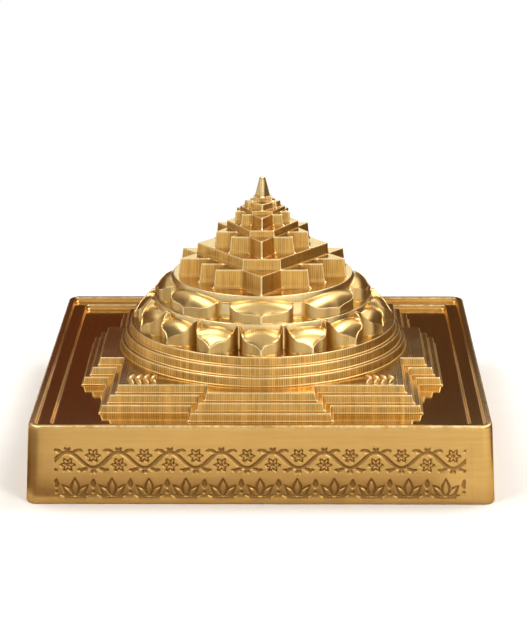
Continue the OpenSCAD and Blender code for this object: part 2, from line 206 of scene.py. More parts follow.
def nine_triangles(radius):
    """Heights of the nine base lines and the right-hand sides of the nine triangles.
    Each step draws a side through the apex and the crossing that it has to hit. The sixth line starts
    between lines 7 and 3 and is moved by the secant rule until sides 1 and 6 meet on line 4."""
    line = {k: radius * (1 - 2 * share) for k, share in LINE_SHARES.items()}
    side = {3: side_through(-radius, np.sqrt(radius**2 - line[3] ** 2), line[3]),
            7: side_through(radius, np.sqrt(radius**2 - line[7] ** 2), line[7])}
    side[2] = side_through(line[9], side_x(side[7], line[3]), line[3])
    side[9] = side_through(line[3], side_x(side[2], line[7]), line[7])
    line[8] = sides_meet(side[3], side[9])
    side[8] = side_through(line[1], side_x(side[3], line[7]), line[7])

    def miss(y6):
        side[1] = side_through(y6, side_x(side[8], line[3]), line[3])
        line[2] = sides_meet(side[1], side[7])
        side[6] = side_through(line[2], side_x(side[2], y6), y6)
        side[4] = side_through(line[8], side_x(side[9], y6), y6)
        line[4] = sides_meet(side[4], side[8])
        return side_x(side[1], line[4]) - side_x(side[6], line[4])

    span = line[3] - line[7]
    before, now = line[7] + span / 4, line[7] + span / 3
    while abs(miss(now)) > CLOSED:
        before, now = now, now - miss(now) * (now - before) / (miss(now) - miss(before))
    line[6] = now
    miss(now)
    line[5] = sides_meet(side[1], side[9])
    side[5] = side_through(line[7], side_x(side[6], line[5]), line[5])
    return line, side


base_lines = nine_triangles(YANTRA_R)[0]
print("base lines, back to front:", [round(float(y), 2) for k, y in sorted(base_lines.items())])


# %% Walls of the figure
def triangle_walls(radius):
    """Each line of the figure as a wall (normal x, normal y, distance), under the names D1..D5, U6..U9
    for the right-hand sides and B1..B5, F6..F9 for the base lines at the back and front."""
    line, side = nine_triangles(radius)
    walls = {}
    for k, (slope, apex) in side.items():
        walls[("D" if k <= 5 else "U") + str(k)] = np.array([1, -slope, -slope * apex]) / np.hypot(1, slope)
    for k, y in line.items():
        walls[("B" if k <= 5 else "F") + str(k)] = np.array([0, 1, y] if k <= 5 else [0, -1, -y])
    return walls


WALLS = triangle_walls(YANTRA_R)
print("walls of the figure:", len(WALLS), "circle radius", round(YANTRA_R, 2))


# %% [markdown]
# ## Rounded loops
# A milled corner is never sharp: the cutter leaves a round in every inner corner, and polish takes the edge
# off every outer one. A bevel modifier would round all corners alike. Instead a loop of walls is moved in by
# an inset, its corners are found, and each becomes a short arc, with one radius for outer and one for inner
# corners. A guard point close to each end of the arc keeps the walls flat when the shading is smoothed.

# %% Loops of walls
ARC_STEPS = 4
GUARD = 0.03
ARC_SHARE = 0.4


def whole_loop(names):
    """All walls of a tier, from the names of the walls of its right half, front to back, and their mirror
    images. A wall that is its own mirror image is kept once."""
    half = [WALLS[n] for n in names.split()]
    mirror = np.array([-1, 1, 1])
    loop = half + [w * mirror for w in reversed(half)]
    return np.array([w for i, w in enumerate(loop) if w[0] != 0 or not np.allclose(w, loop[i - 1])])


def rounded_loop(walls, inset, outer_r, inner_r):
    """Points and corner signs of a loop of walls moved in by inset.
    A corner is where two neighbouring walls cross. Its arc starts radius * tan(turn / 2) before the corner,
    or at ARC_SHARE of the wall, and turns the wall's normal step by step. The sign is +1 on the arc of an
    outer corner, -1 on an inner one, 0 elsewhere."""
    after = walls
    before = np.roll(walls, 1, 0)
    cross = before[:, 0] * after[:, 1] - before[:, 1] * after[:, 0]
    p, q = before[:, 2] - inset, after[:, 2] - inset
    corner = np.stack([p * after[:, 1] - q * before[:, 1], before[:, 0] * q - after[:, 0] * p], -1)
    corner = corner / cross[:, None]
    way_in = np.stack([-before[:, 1], before[:, 0]], -1)
    way_out = np.stack([-after[:, 1], after[:, 0]], -1)
    turn = np.arctan2(way_in[:, 0] * way_out[:, 1] - way_in[:, 1] * way_out[:, 0], (way_in * way_out).sum(1))
    length = np.linalg.norm(np.roll(corner, -1, 0) - corner, axis=1)
    room = ARC_SHARE * np.minimum(length, np.roll(length, 1))
    sign = np.sign(turn)
    slope = np.tan(np.abs(turn) / 2)
    reach = np.minimum(np.where(sign > 0, outer_r, inner_r) * slope, room)
    radius = reach / slope
    centre = corner - way_in * reach[:, None] - before[:, :2] * (sign * radius)[:, None]
    angle = turn[:, None] * np.linspace(0, 1, ARC_STEPS + 1)
    cos, sin = np.cos(angle), np.sin(angle)
    normal = np.stack([before[:, 0, None] * cos - before[:, 1, None] * sin,
                       before[:, 0, None] * sin + before[:, 1, None] * cos], -1)
    arc = centre[:, None] + normal * (sign * radius)[:, None, None]
    guard = np.minimum(GUARD, room / 4)[:, None]
    points = np.concatenate([(arc[:, 0] - way_in * guard)[:, None], arc,
                             (arc[:, -1] + way_out * guard)[:, None]], 1)
    signs = np.zeros(points.shape[:2])
    signs[:, 1:-1] = sign[:, None]
    return points.reshape(-1, 2), signs.ravel()


print("points on each rounded corner:", ARC_STEPS + 3)


# %% [markdown]
# ## The stars
# Seen from the side, a tier's wall sweeps up out of the tread below in a tall hollow, because a round-nosed
# cutter made it. Then it leans in a little as it rises, and turns over a worn round into its own tread. An
# extruded outline would give straight walls only. A profile of three short stretches, each a formula, gives
# all of it and serves every star.

# %% Edge profile
# Outer corners are rubbed bright; inner corners are darkened, grime and painted shade.
OUTER_WEAR, INNER_GRIME_AND_SHADE = 0.9, -0.25


def quarter(count):
    """Angles over a quarter turn in even steps."""
    return np.linspace(0, np.pi / 2, count)


ROUND = quarter(5)


def edge_profile(height, draft, cove, cove_h, edge_r):
    """Rows (inset, height, rubbing and painted light) from the foot of a wall to the tread on top of it.
    Cove: a quarter ellipse, hollow side out, from cove outside the line to cove inside it. Wall: the inset
    grows with height to where a plain leaning wall would end. Edge: a quarter round, full side out."""
    top = np.tan(np.radians(draft)) * height
    # Painted highlight on the hollow's foot; wear and painted highlight on the upper wall, round and tread
    # edge.
    rows = [(2 * cove * np.sin(a) - cove, cove_h * (1 - np.cos(a)), 0.2 * np.cos(a)) for a in quarter(7)]
    lean = (top - cove) / (height - cove_h)
    for h, wear_and_painted_light in ((cove_h + GUARD, 0), (height - 2 * edge_r, 0), (height - edge_r - GUARD, 0.7)):
        rows.append((cove + lean * (h - cove_h), h, wear_and_painted_light))
    wall_top = cove + lean * (height - edge_r - cove_h)
    rows += [(wall_top + edge_r * (1 - np.cos(a)), height - edge_r + edge_r * np.sin(a), 1) for a in ROUND]
    return rows + [(wall_top + edge_r + GUARD, height, 0.8), (wall_top + 3 * edge_r, height, 0)]


def plate(node, walls, profile, outer_r, inner_r, slot, **hole):
    """A plate whose edge profile is carried round its loop of walls and closed through its hole.
    Below the tread a corner adds to its row's number: outer ones are rubbed bright, and inner ones are
    darkened, grime and painted shade."""
    low, high = node_box(node)
    rows, wear_and_painted_light = [], []
    for inset, h, row_wear in profile:
        loop, signs = rounded_loop(walls, inset, outer_r, inner_r)
        rows.append(at_height(loop, low[2] + h))
        corner_wear = np.where(signs > 0, OUTER_WEAR, INNER_GRIME_AND_SHADE) * np.abs(signs)
        wear_and_painted_light.append(np.clip(row_wear + corner_wear * (h < high[2] - low[2]), -1, 1))
    return holed_piece(node, rows, wear_and_painted_light, slot, **hole)


print("rows on a worn round:", len(ROUND))


# %% The stars and their steps
STAR_TIERS = {
    "fourteen_point_star": "D3 F9 U9 F8 U8 F7 U7 D3 B3 D2 B2 D1 B1 U7",
    "fourteen_star_step": "F9 D3 U7 B1",
    "outer_ten_point_star": "D2 F8 U9 F7 U8 D2 B3 D1 B2 U8",
    "outer_ten_star_step": "F8 D2 U8 B2",
    "inner_ten_point_star": "D4 F7 U9 F6 U6 D4 B4 D1 B3 U6",
    "inner_ten_star_step": "F7 D4 U6 B3",
    "eight_point_star": "D5 F6 U9 D5 B5 D1 B4 U9",
    "eight_star_step": "F6 D5 U9 B4",
}
STAR_DRAFT = 5
STAR_INSET = 0.25
STAR_EDGE_R = 0.14
STAR_OUTER_R = 0.18
STAR_INNER_R, STAR_INNER_MORE = 0.25, 0.45
COVE, COVE_H = 0.13, 0.8
FULL_COVE_HEIGHT = 2
# The flare of the topmost step is tinted paler all over, a painted highlight.
FLARE, FLARE_HIGHLIGHT = 0.5, 0.3


def flare_profile(height):
    """Rows of the topmost step: one quarter ellipse, hollow side out, all the way up to the tread."""
    rows = [(FLARE * np.sin(a), height * (1 - np.cos(a)), FLARE_HIGHLIGHT) for a in quarter(9)]
    return rows + [(FLARE + GUARD, height, FLARE_HIGHLIGHT)]


def star_tier(node, names):
    """One star or step. Its hollows shrink with its height, and the smallest two sit on the spire's tail."""
    low, high = node_box(node)
    height = high[2] - low[2]
    shrink = min(1, height / FULL_COVE_HEIGHT)
    edge_r = STAR_EDGE_R * min(1, height)
    if node == "eight_star_step":
        profile = flare_profile(height)
    else:
        profile = edge_profile(height, STAR_DRAFT, COVE * shrink, COVE_H * shrink, edge_r)
    inset = 0 if node == "fourteen_point_star" else STAR_INSET
    profile = [(s + inset, h, w) for s, h, w in profile]
    hole = dict(hole=TAIL_HOLE, square=False) if node.startswith("eight") else {}
    inner_r = STAR_INNER_R + STAR_INNER_MORE * shrink
    return plate(node, whole_loop(names), profile, STAR_OUTER_R, inner_r, "star_brass", **hole)


for node, names in STAR_TIERS.items():
    star_tier(node, names)


# %% [markdown]
# ## The spire
# On the real object the innermost triangle is drawn up into a slim three-sided spire with a blunt round tip.
# A scaled cone would have the wrong section, so its rows are the same triangle at growing insets. The tip
# closes in one point, and below the foot the round tail goes down into the bar.

# %% Spire
TIP_R = 0.5
NECK_INSET = 0.5
TAIL_R = TAIL_HOLE - 0.03
RIDGE_R = np.array([0.45, 0.2, 0.2])
# Painted highlight: the spire's faces, ridges and tip are tinted paler.
SPIRE_HIGHLIGHT, RIDGE_HIGHLIGHT, TIP_HIGHLIGHT = 0.5, 0.6, 0.7
SPIRE_FLARE = [(-0.04, 0, 0.2), (0.06, 0.03, 0.4), (0.12, 0.1, SPIRE_HIGHLIGHT), (0.16, 0.22, SPIRE_HIGHLIGHT),
               (0.19, 0.38, SPIRE_HIGHLIGHT), (0.21, 0.55, SPIRE_HIGHLIGHT)]


def spire():
    """Rows from the foot up: a hollow flare, the leaning faces and a dome over the neck, then the tail.
    The dome draws the neck's loop in by the cosine while it rises by the sine."""
    low, high = node_box("bindu_spire")
    step_top = node_box("eight_star_step")[1][2]
    walls = whole_loop("D1 B5")
    neck_z = high[2] - TIP_R
    levels = [(s, step_top + h, w) for s, h, w in SPIRE_FLARE]
    foot_inset, foot_z, _ = levels[-1]
    for t in (0.2, 0.4, 0.6, 0.8, 1):
        inset = foot_inset + (NECK_INSET - foot_inset) * t
        levels.append((inset, foot_z + (neck_z - foot_z) * t, SPIRE_HIGHLIGHT))
    rows, wear_and_painted_light = [], []
    for inset, z, row_wear in levels:
        loop, signs = rounded_loop(walls, inset, RIDGE_R, RIDGE_R)
        rows.append(at_height(loop, z))
        wear_and_painted_light.append(np.clip(row_wear + RIDGE_HIGHLIGHT * signs, -1, 1))
    neck = rows[-1]
    middle = neck.mean(0)
    for a in quarter(7)[1:]:
        dome = middle + (neck - middle) * np.cos(a)
        dome[:, 2] = neck_z + TIP_R * np.sin(a)
        rows.append(dome)
        wear_and_painted_light.append(np.full(len(dome), TIP_HIGHLIGHT))
    tail = hole_loop(rows[0], TAIL_R, square=False)
    below = [at_height(tail * 0, low[2]), at_height(tail, low[2]), at_height(tail, step_top)]
    wear_and_painted_light = [np.zeros(len(tail))] * len(below) + wear_and_painted_light
    return grid_piece("spire_skin", below + rows, wear_and_painted_light, "star_brass", "bindu_spire", wrap=False)


spire()


# %% [markdown]
# ## The lotuses
# A petal is a dome that falls from an eye-shaped upper line to a lip, with a spur in the middle of the lip
# and a steep wall below. It could be sculpted once and repeated in a ring, but then the seams between the
# petals would need mending. As one section carried round the axis the lotus closes by itself. Everything
# depends on u, the distance from the petal's middle line as a share of its half width. The lip is a fine
# raised bead, which is what catches the light and draws the petals.

# %% Petal lines
LIP_OUT = 0.06
LIP_END = 0.94
SPUR_POWER = 1.6
EYE_GAP = 0.08
EIGHT = dict(disc_r=YANTRA_R + 0.3, wall_lean=0.2, shoulder=2.5, point=0.55, tip_h=1.3, lip_end=2.55,
             eye_h=3.35, eye_end=2.65, dome_power=1.8, end_round=0.75, round_power=7, spur_share=0.35,
             spur_part=0.22, lip_power=4)
SIXTEEN = dict(disc_r=YANTRA_R + 3.6, wall_lean=0.2, shoulder=2.75, point=0.85, tip_h=0.9, lip_end=4.1,
               eye_h=3.65, eye_end=2.9, dome_power=1.6, end_round=1, round_power=5, spur_share=0.42,
               spur_part=0.3, lip_power=4.5)


def petal_lines(u, full, size):
    """The lines of a petal at share u of its half width: radius of shoulder and lip, and height of the lip,
    of the lip without its spur and of the eye line.
    Shoulder: wall + shoulder * (1 - drawn-in share * u^power), or the bare wall in a gap, where full is 0.
    Spur: (1 - u / share)^SPUR_POWER, which carries the lip outwards and down to its tip. Lip: tip + rise *
    (part of spur + rest of u^power). Eye line: falls with u^2 from the middle to the end."""
    wall_r = size["disc_r"] + size["wall_lean"]
    shoulder_r = wall_r + full * size["shoulder"] * (1 - size["end_round"] * u ** size["round_power"])
    spur = np.clip(1 - u / size["spur_share"], 0, 1) ** SPUR_POWER
    lip_r = shoulder_r + LIP_OUT + (size["point"] - 2 * LIP_OUT) * spur
    part, rise = size["spur_part"], size["lip_end"] - size["tip_h"]
    plain_z = size["tip_h"] + rise * (part + (1 - part) * np.minimum(u / LIP_END, 1) ** size["lip_power"])
    lip_z = plain_z - rise * part * spur
    eye_z = np.maximum(size["eye_h"] + (size["eye_end"] - size["eye_h"]) * u**2, plain_z + EYE_GAP)
    return shoulder_r, lip_r, lip_z, plain_z, eye_z


for size in (EIGHT, SIXTEEN):
    print("petal tips at radius", round(float(petal_lines(0.0, 1, size)[1]), 2), "mm")


# %% Petal section
LIP_R = 0.085
DOME_BACK, DOME_SINK, DOME_CREASE = 0.1, 0.02, 1.5
DISC_EDGE, DISC_LIP = 0.12, 0.04
STEM_END, SIDE_START = 0.01, 0.985
# Painted light and shade on the petal walls: bright stems, sides and gaps, darker walls between and creases.
STEM_HIGHLIGHT, SIDE_HIGHLIGHT, GAP_LIGHT, WALL_SHADE, CREASE_SHADE = 1.0, 0.7, 0.9, -0.35, -0.15


def wall_and_lip(u, full, lip_r, lip_z):
    """Rows (radius, height, rubbing and painted light) of the wall under the lip, with a small flare at its
    foot, and of the lip, a quarter round of radius LIP_R with a groove behind it. Light and shade are
    painted on the
    wall: it is bright on the stem in the petal's middle, along its sides and in the gaps, and darker between
    them and at its foot, so that the lip, painted bright, stands out."""
    one = np.ones_like(u)
    stem = np.where(u < STEM_END, STEM_HIGHLIGHT, 0) + np.where((u > SIDE_START) & (full > 0), SIDE_HIGHLIGHT, 0)
    stem = stem + GAP_LIGHT * (1 - full)
    stem = np.where(stem > 0, stem, WALL_SHADE)
    flare = ((0.12, 0, CREASE_SHADE), (0.06, 0.04, CREASE_SHADE), (0.04, 0.15, stem), (0.02, 0.3, stem))
    rows = [(lip_r + out, z * one, wear_and_painted_light * one) for out, z, wear_and_painted_light in flare]
    rows += [(lip_r + 0.01, lip_z - 0.3, stem), (lip_r - 0.02, lip_z - 0.1, np.maximum(stem, 0.3 * full))]
    rows += [(lip_r - LIP_R * (1 - np.cos(a)), lip_z - 0.04 + LIP_R * np.sin(a), full) for a in ROUND]
    rows.append((lip_r - 1.7 * LIP_R, lip_z + DOME_SINK, 0.7 * full))
    return rows + [(lip_r - 2 * LIP_R, lip_z - DOME_SINK, 0 * one)]


def petal_section(u, full, size):
    """Section of a lotus at share u of the half petal: rows of (radius, height, rubbing and painted light),
    one value per angle.
    Above wall and lip comes the dome: radius by the cosine, height by a power of the sine, while the spur's
    pull dies out with the cosine^6. Then the upper wall and the disc's round edge."""
    one = np.ones_like(u)
    shoulder_r, lip_r, lip_z, plain_z, eye_z = petal_lines(u, full, size)
    rows = wall_and_lip(u, full, lip_r, lip_z)
    disc_r, h = size["disc_r"], size["h"]
    wall_r = disc_r + size["wall_lean"]
    foot_r = np.maximum(shoulder_r - DOME_BACK, wall_r)
    base_z = plain_z - DOME_SINK
    for a in quarter(19):
        pull = np.cos(a) ** 6
        r = wall_r + (foot_r - wall_r) * np.cos(a) + np.maximum(lip_r - 2.2 * LIP_R - foot_r, 0) * pull
        z = base_z + (eye_z - base_z) * np.sin(a) ** size["dome_power"] + (lip_z - plain_z) * pull
        # Painted shade darkens the top of the dome, where it meets the upper wall, and the wall's first row.
        rows.append((r, z, CREASE_SHADE * (a > DOME_CREASE) * one))
    rows.append(((wall_r - 0.02) * one, np.minimum(eye_z + 0.06, h - 2.2 * DISC_EDGE), CREASE_SHADE * one))
    rows.append(((wall_r - 0.05) * one, np.minimum(eye_z + 0.2, h - 2 * DISC_EDGE), 0 * one))
    for a in ROUND:
        rows.append(((disc_r + DISC_LIP + DISC_EDGE * (np.cos(a) - 1)) * one,
                     (h - DISC_EDGE + DISC_EDGE * np.sin(a)) * one, one))
    return rows + [((disc_r - 3 * DISC_EDGE) * one, h * one, 0 * one)]


print("radius of the lip's bead:", LIP_R, "mm")


# %% Lotus
GAP_GUARDS = np.array([0.2, 0.3])


def lotus(node, petals, half_angle, size, per_petal):
    """A lotus carried round the axis, its first petal to the front, closed through the bar's hole.
    Within a petal the angle is half_angle * sin of even steps, so the columns crowd at the petal's sides."""
    low, high = node_box(node)
    size = dict(size, h=high[2] - low[2])
    pitch = 360 / petals
    inside = half_angle * np.sin(np.linspace(-np.pi / 2, np.pi / 2, per_petal))
    beside = half_angle + GAP_GUARDS
    local = np.sort(np.concatenate([[-pitch / 2], -beside, inside, beside]))
    u = np.tile(np.clip(np.abs(local) / half_angle, 0, 1), petals)
    full = np.tile((np.abs(local) <= half_angle).astype(float), petals)
    way = directions(np.radians((np.arange(petals)[:, None] * pitch - 90 + local).ravel()))
    rows, wear_and_painted_light = [], []
    for r, z, w in petal_section(u, full, size):
        rows.append(np.column_stack([way * r[:, None], low[2] + z]))
        wear_and_painted_light.append(np.clip(w, -1, 1))
    return holed_piece(node, rows, wear_and_painted_light, "lotus_brass")


lotus("eight_petal_lotus", 8, 19, EIGHT, 73)
lotus("sixteen_petal_lotus", 16, 10.9, SIXTEEN, 49)


# %% [markdown]
# ## Girdles and terraces
# On the real object these plates show a double line along every foot: a thin bead where the cutter turned.
# A bead could be a ring of its own, but as a few more rows of the profile it stays one surface with the
# wall. The girdles carry the profile round a circle, the terraces round a square with a gate in the middle
# of each side.

# %% Girdles
BEAD = 0.2
ROUND_EDGE = 0.12
GIRDLE_LEAN = 0.15
GIRDLE_STEP = 1.25


def beaded_profile(height, lean):
    """Rows (inset, height, rubbing and painted light) of a wall with a bead along its foot and a worn
    upper edge.
    The wall's inset falls from 0 at the top to -lean at the foot, and the bead stands out by BEAD more."""
    slope = lean / height
    # Painted light and shade: the bead's crown is bright and the creases at its foot and above it darker.
    rows = [(-lean - BEAD, 0, -0.5), (-lean - BEAD, BEAD * 0.5, 0), (-lean - BEAD * 0.8, BEAD * 0.8, 0.8),
            (-lean - BEAD * 0.4, BEAD * 0.95, 0.5), (-lean - BEAD * 0.1, BEAD, -0.3),
            (-lean + slope * BEAD, BEAD * 1.3, -0.3), (-lean + slope * 2 * BEAD, BEAD * 2, 0),
            (-slope * 3 * ROUND_EDGE, height - 3 * ROUND_EDGE, 0),
            (-slope * ROUND_EDGE, height - ROUND_EDGE - GUARD, 0.4)]
    for a in ROUND:
        rows.append((ROUND_EDGE * (1 - np.cos(a)), height - ROUND_EDGE + ROUND_EDGE * np.sin(a), 1))
    return rows + [(ROUND_EDGE + GUARD, height, 0.6), (3 * ROUND_EDGE, height, 0)]


def girdle(node):
    """A round plate: the beaded profile carried round a circle."""
    low, high = node_box(node)
    profile = beaded_profile(high[2] - low[2], GIRDLE_LEAN)
    circle = directions(np.radians(np.arange(0, 360, GIRDLE_STEP) - 90))
    top_r = high[0] - GIRDLE_LEAN
    rows = [at_height(circle * (top_r - s), low[2] + h) for s, h, _ in profile]
    wear_and_painted_light = [np.full(len(circle), float(w)) for *_, w in profile]
    return holed_piece(node, rows, wear_and_painted_light, "tier_brass")


for node in ("lower_girdle", "middle_girdle", "upper_girdle"):
    girdle(node)

# %% Terraces
GATE_OUT = 4.1
TERRACE_LEAN = 0.3
TERRACE_OUTER_R, TERRACE_INNER_R = 0.18, 0.15
UPPER_GATE_HALF = 8.95
upper_half = node_box("upper_terrace")[1][0]


def quarter_turned(points, turns):
    """Points or normals turned by quarters round the axis: each time (x, y) becomes (-y, x)."""
    for _ in range(turns):
        points = np.stack([-points[:, 1], points[:, 0]], -1)
    return points


def gated_square(half, gate_half, gate_front):
    """Walls of a square with a gate in the middle of each side, the front first, then turned by quarters."""
    normals = np.array([[0, -1], [-1, 0], [0, -1], [1, 0], [0, -1]], float)
    reach = np.array([half, gate_half, gate_front, gate_half, half])
    return np.concatenate([np.column_stack([quarter_turned(normals, k), reach]) for k in range(4)])


def terrace(node):
    """A gated plate. Its gates are wider than the uppermost ones by as much as it reaches out further."""
    low, high = node_box(node)
    gate_front = high[0] - TERRACE_LEAN
    walls = gated_square(gate_front - GATE_OUT, UPPER_GATE_HALF + high[0] - upper_half, gate_front)
    profile = beaded_profile(high[2] - low[2], TERRACE_LEAN)
    return plate(node, walls, profile, TERRACE_OUTER_R, TERRACE_INNER_R, "tier_brass")


for node in ("lower_terrace", "middle_terrace", "upper_terrace"):
    terrace(node)


# %% [markdown]
# ## Corner sprigs
# The two front corners of the upper terrace carry a small raised mark each. Here it is a sprig: four pairs
# of leaves along a short line. Bump in the finish could hint at them, but they stand up far enough to catch
# light of their own, so they are meshes. A leaf is a low pillow of five rows, closed in a point above and
# below.

# %% Sprigs
LEAF_POINTS = 24
LEAF_LENGTH, LEAF_WIDTH, LEAF_TAPER, LEAF_LEAN = 2.3, 0.42, 0.45, 1.15
LEAF_SHARES = np.array([0, 1, 1, 0.6, 0])
LEAF_HEIGHTS = np.array([-0.05, -0.05, 0.12, 0.36, 0.45])
SPRIG_PAIRS, SPRIG_PITCH = 4, 1.25
SPRIG_BESIDE, SPRIG_BEHIND = 1.6, 2.9


def pillow_leaf(place, turn, z):
    """Rows of one raised leaf. Its outline is length * (1 - cos a) / 2 along the leaf and
    width * sin a * (1 - taper * share of the length) across it."""
    a = np.linspace(0, 2 * np.pi, LEAF_POINTS, endpoint=False)
    share = (1 - np.cos(a)) / 2
    along = LEAF_LENGTH * share
    across = LEAF_WIDTH * np.sin(a) * (1 - LEAF_TAPER * share)
    c, s = np.cos(turn), np.sin(turn)
    flat = np.stack([along * c - across * s, along * s + across * c], -1) + place
    middle = flat.mean(0)
    return [at_height(middle + (flat - middle) * k, z + h) for k, h in zip(LEAF_SHARES, LEAF_HEIGHTS)]


def sprigs():
    """Two mirror-image sprigs in one piece, each leaf a closed pillow."""
    top = node_box("upper_terrace")[1][2]
    corner = upper_half - TERRACE_LEAN - GATE_OUT
    leaves = []
    for side in (-1, 1):
        for k in range(SPRIG_PAIRS):
            place = np.array([side * (corner - SPRIG_BESIDE - SPRIG_PITCH * k), SPRIG_BEHIND - corner])
            for up in (1, -1):
                leaves.append(pillow_leaf(place, np.pi / 2 * (1 + side) - side * up * LEAF_LEAN, top))
    one = grid_faces(len(LEAF_SHARES), LEAF_POINTS, False)
    faces = np.concatenate([one + k * len(LEAF_SHARES) * LEAF_POINTS for k in range(len(leaves))])
    points = np.array(leaves).reshape(-1, 3)
    piece = finish_piece("corner_sprigs", points, faces, np.ones(len(points)), "tier_brass")
    weld(piece)
    print("corner_sprigs:", len(leaves), "leaves")


sprigs()


# %% [markdown]
# ## The tray
# The real tray is one heavy block with leaning walls and a stepped recess. A box with an inset would need
# every edge bevelled by hand. Here one profile is carried round a square with rounded corners: up the outer
# wall, over the rim, down two steps to the floor, in to the bar's hole, down through it to the counterbore
# and back along the underside. A shallow pocket in the front wall takes the engraved band, which is a much
# finer grid of its own.

# %% Tray outline
TRAY_LEAN = 0.65
CORNER_R, INNER_CORNER_R = 2.0, 0.8
BAND_SHARE, BAND_END = 0.955, 0.0004
ARC_POINTS = 9
TRAY_HALF, _, TRAY_H = node_box("base_tray")[1]


def wall_half(z):
    """Half width of the tray's outer wall at height z."""
    return TRAY_HALF - TRAY_LEAN * z / TRAY_H


def tray_loop(half, corner_r):
    """A square with round corners: four straight sides, each followed by a quarter arc. The front side has
    extra points at the ends of the band."""
    ends = BAND_SHARE + BAND_END * np.arange(3)
    front = np.concatenate([[-1, -0.98], -ends[::-1], [-0.5, 0, 0.5], ends, [0.98, 1]])
    plain = np.array([-1, -0.98, -0.5, 0, 0.5, 0.98, 1])
    arc = directions(np.radians(np.linspace(-90, 0, ARC_POINTS)[1:-1]))
    bend = arc * corner_r + [half - corner_r, corner_r - half]
    sides = []
    for k, shares in enumerate((front, plain, plain, plain)):
        straight = np.stack([shares * (half - corner_r), np.full(len(shares), -half)], -1)
        sides.append(quarter_turned(np.concatenate([straight, bend]), k))
    return np.concatenate(sides)


print("tray:", round(2 * TRAY_HALF, 2), "mm wide,", round(TRAY_H, 2), "mm high")

# %% Tray wall and rim
FOOT_R, RIM_R = 0.3, 0.35
BAND_LOW, BAND_HIGH, BAND_GUARD = 0.7, 10.9, 0.01
BAND_LEVELS = [z + step for z in (BAND_LOW, BAND_HIGH) for step in (-BAND_GUARD, 0, BAND_GUARD)]
ABOVE_BAND, BELOW_RIM = 11.6, 0.4


def outer_wall():
    """Rows (half width, height, corner radius, wear) of the foot's round, the wall and the rim's outer edge,
    a quarter round that is worn by the square of the sine, so most on top."""
    rows = [(TRAY_HALF - FOOT_R, 0, CORNER_R - FOOT_R, 0),
            (TRAY_HALF - 0.3 * FOOT_R, 0.3 * FOOT_R, CORNER_R - 0.3 * FOOT_R, 0.1)]
    for z in (FOOT_R, *BAND_LEVELS, ABOVE_BAND, TRAY_H - RIM_R - BELOW_RIM):
        rows.append((wall_half(z), z, CORNER_R, 0))
    for a in ROUND:
        half = TRAY_HALF - TRAY_LEAN - RIM_R * (1 - np.cos(a))
        rows.append((half, TRAY_H - RIM_R + RIM_R * np.sin(a), CORNER_R, 0.1 + 0.6 * np.sin(a) ** 2))
    return rows


def rim_step(half, top, foot, lead, soft):
    """Rows of one step inside the rim: tread, worn edge, riser and the dark hollow at its foot. The lead is
    the plain stretch kept before the edge and above the hollow, and soft widens the first corners."""
    r = INNER_CORNER_R
    return [(half + lead, top, r + 2 * soft, 0), (half + 0.1, top, r + soft, 0.6),
            (half + 0.02, top - 0.08, r, 1), (half, top - 0.2, r, 0.2), (half - 0.02, foot + lead, r, 0),
            (half - 0.06, foot + 0.1, r, -0.4), (half - 0.2, foot, r, -0.5)]


print("rows of the outer wall:", len(outer_wall()))


# %% Tray
RIM_BAND, RIM_DROP, LEDGE = 1.1, 0.75, 2.3
FLOOR_Z = node_box("lower_terrace")[0][2]
BAND_DEPTH, BAND_SLACK = 0.5, 1e-6
POCKET_R, POCKET_Z, POCKET_EDGE = 4.0, 3.5, 0.15
SHARP = np.radians(60)


def push_in_pocket(rows):
    """Moves the points of the front wall that lie under the band inwards by the band's depth. The slack
    takes in the points that lie right at the band's ends."""
    x, y, z = np.moveaxis(rows, -1, 0)
    in_band = (z > BAND_LOW + BAND_GUARD / 2) & (z < BAND_HIGH - BAND_GUARD / 2) & (y < 1 - TRAY_HALF)
    in_band &= np.abs(x) <= BAND_SHARE * (wall_half(z) - CORNER_R) + BAND_SLACK
    rows[..., 1] += np.where(in_band, BAND_DEPTH, 0)


def tray():
    """Rows of the tray from the foot edge round to the underside."""
    inner = TRAY_HALF - TRAY_LEAN - RIM_BAND
    ledge_z = TRAY_H - RIM_DROP
    step = inner - LEDGE
    levels = outer_wall() + rim_step(inner, TRAY_H, ledge_z, lead=0.25, soft=0.1)
    levels.append((inner - 0.45, ledge_z, INNER_CORNER_R, 0))
    levels += rim_step(step, ledge_z, FLOOR_Z, lead=0.3, soft=0)
    levels += [(step - 0.6, FLOOR_Z, INNER_CORNER_R, -0.2), (step - 3, FLOOR_Z, INNER_CORNER_R, 0)]
    rows = np.array([at_height(tray_loop(half, r), z) for half, z, r, _ in levels])
    push_in_pocket(rows)
    bar = hole_loop(rows[0], BAR_HOLE)
    pocket = hole_loop(rows[0], POCKET_R, square=False)
    chamfer = hole_loop(rows[0], POCKET_R + POCKET_EDGE, square=False)
    closing = [at_height(bar, FLOOR_Z), at_height(bar, POCKET_Z), at_height(pocket, POCKET_Z),
               at_height(pocket, POCKET_EDGE), at_height(chamfer, 0)]
    wear_and_painted_light = [np.full(len(bar), float(w)) for *_, w in levels] + [np.zeros(len(bar))] * len(closing)
    piece = grid_piece("tray_skin", np.concatenate([rows, closing]), wear_and_painted_light, "tray_brass", "base_tray")
    piece.data.set_sharp_from_angle(angle=SHARP)


tray()


# %% [markdown]
# ## The engraved band
# The front wall carries two engraved rows. Here they are a running vine above a row of lotus flowers, two
# borders as old as brasswork. Cutting each stroke out of the wall as a solid would be slow and fragile.
# Instead every stroke is a distance: a point's depth depends on how far it lies from the nearest line of
# the drawing, so whole arrays of distances give the grooves of the whole band at once.

# %% Band strokes
FLAT_BOTTOM = 1.6


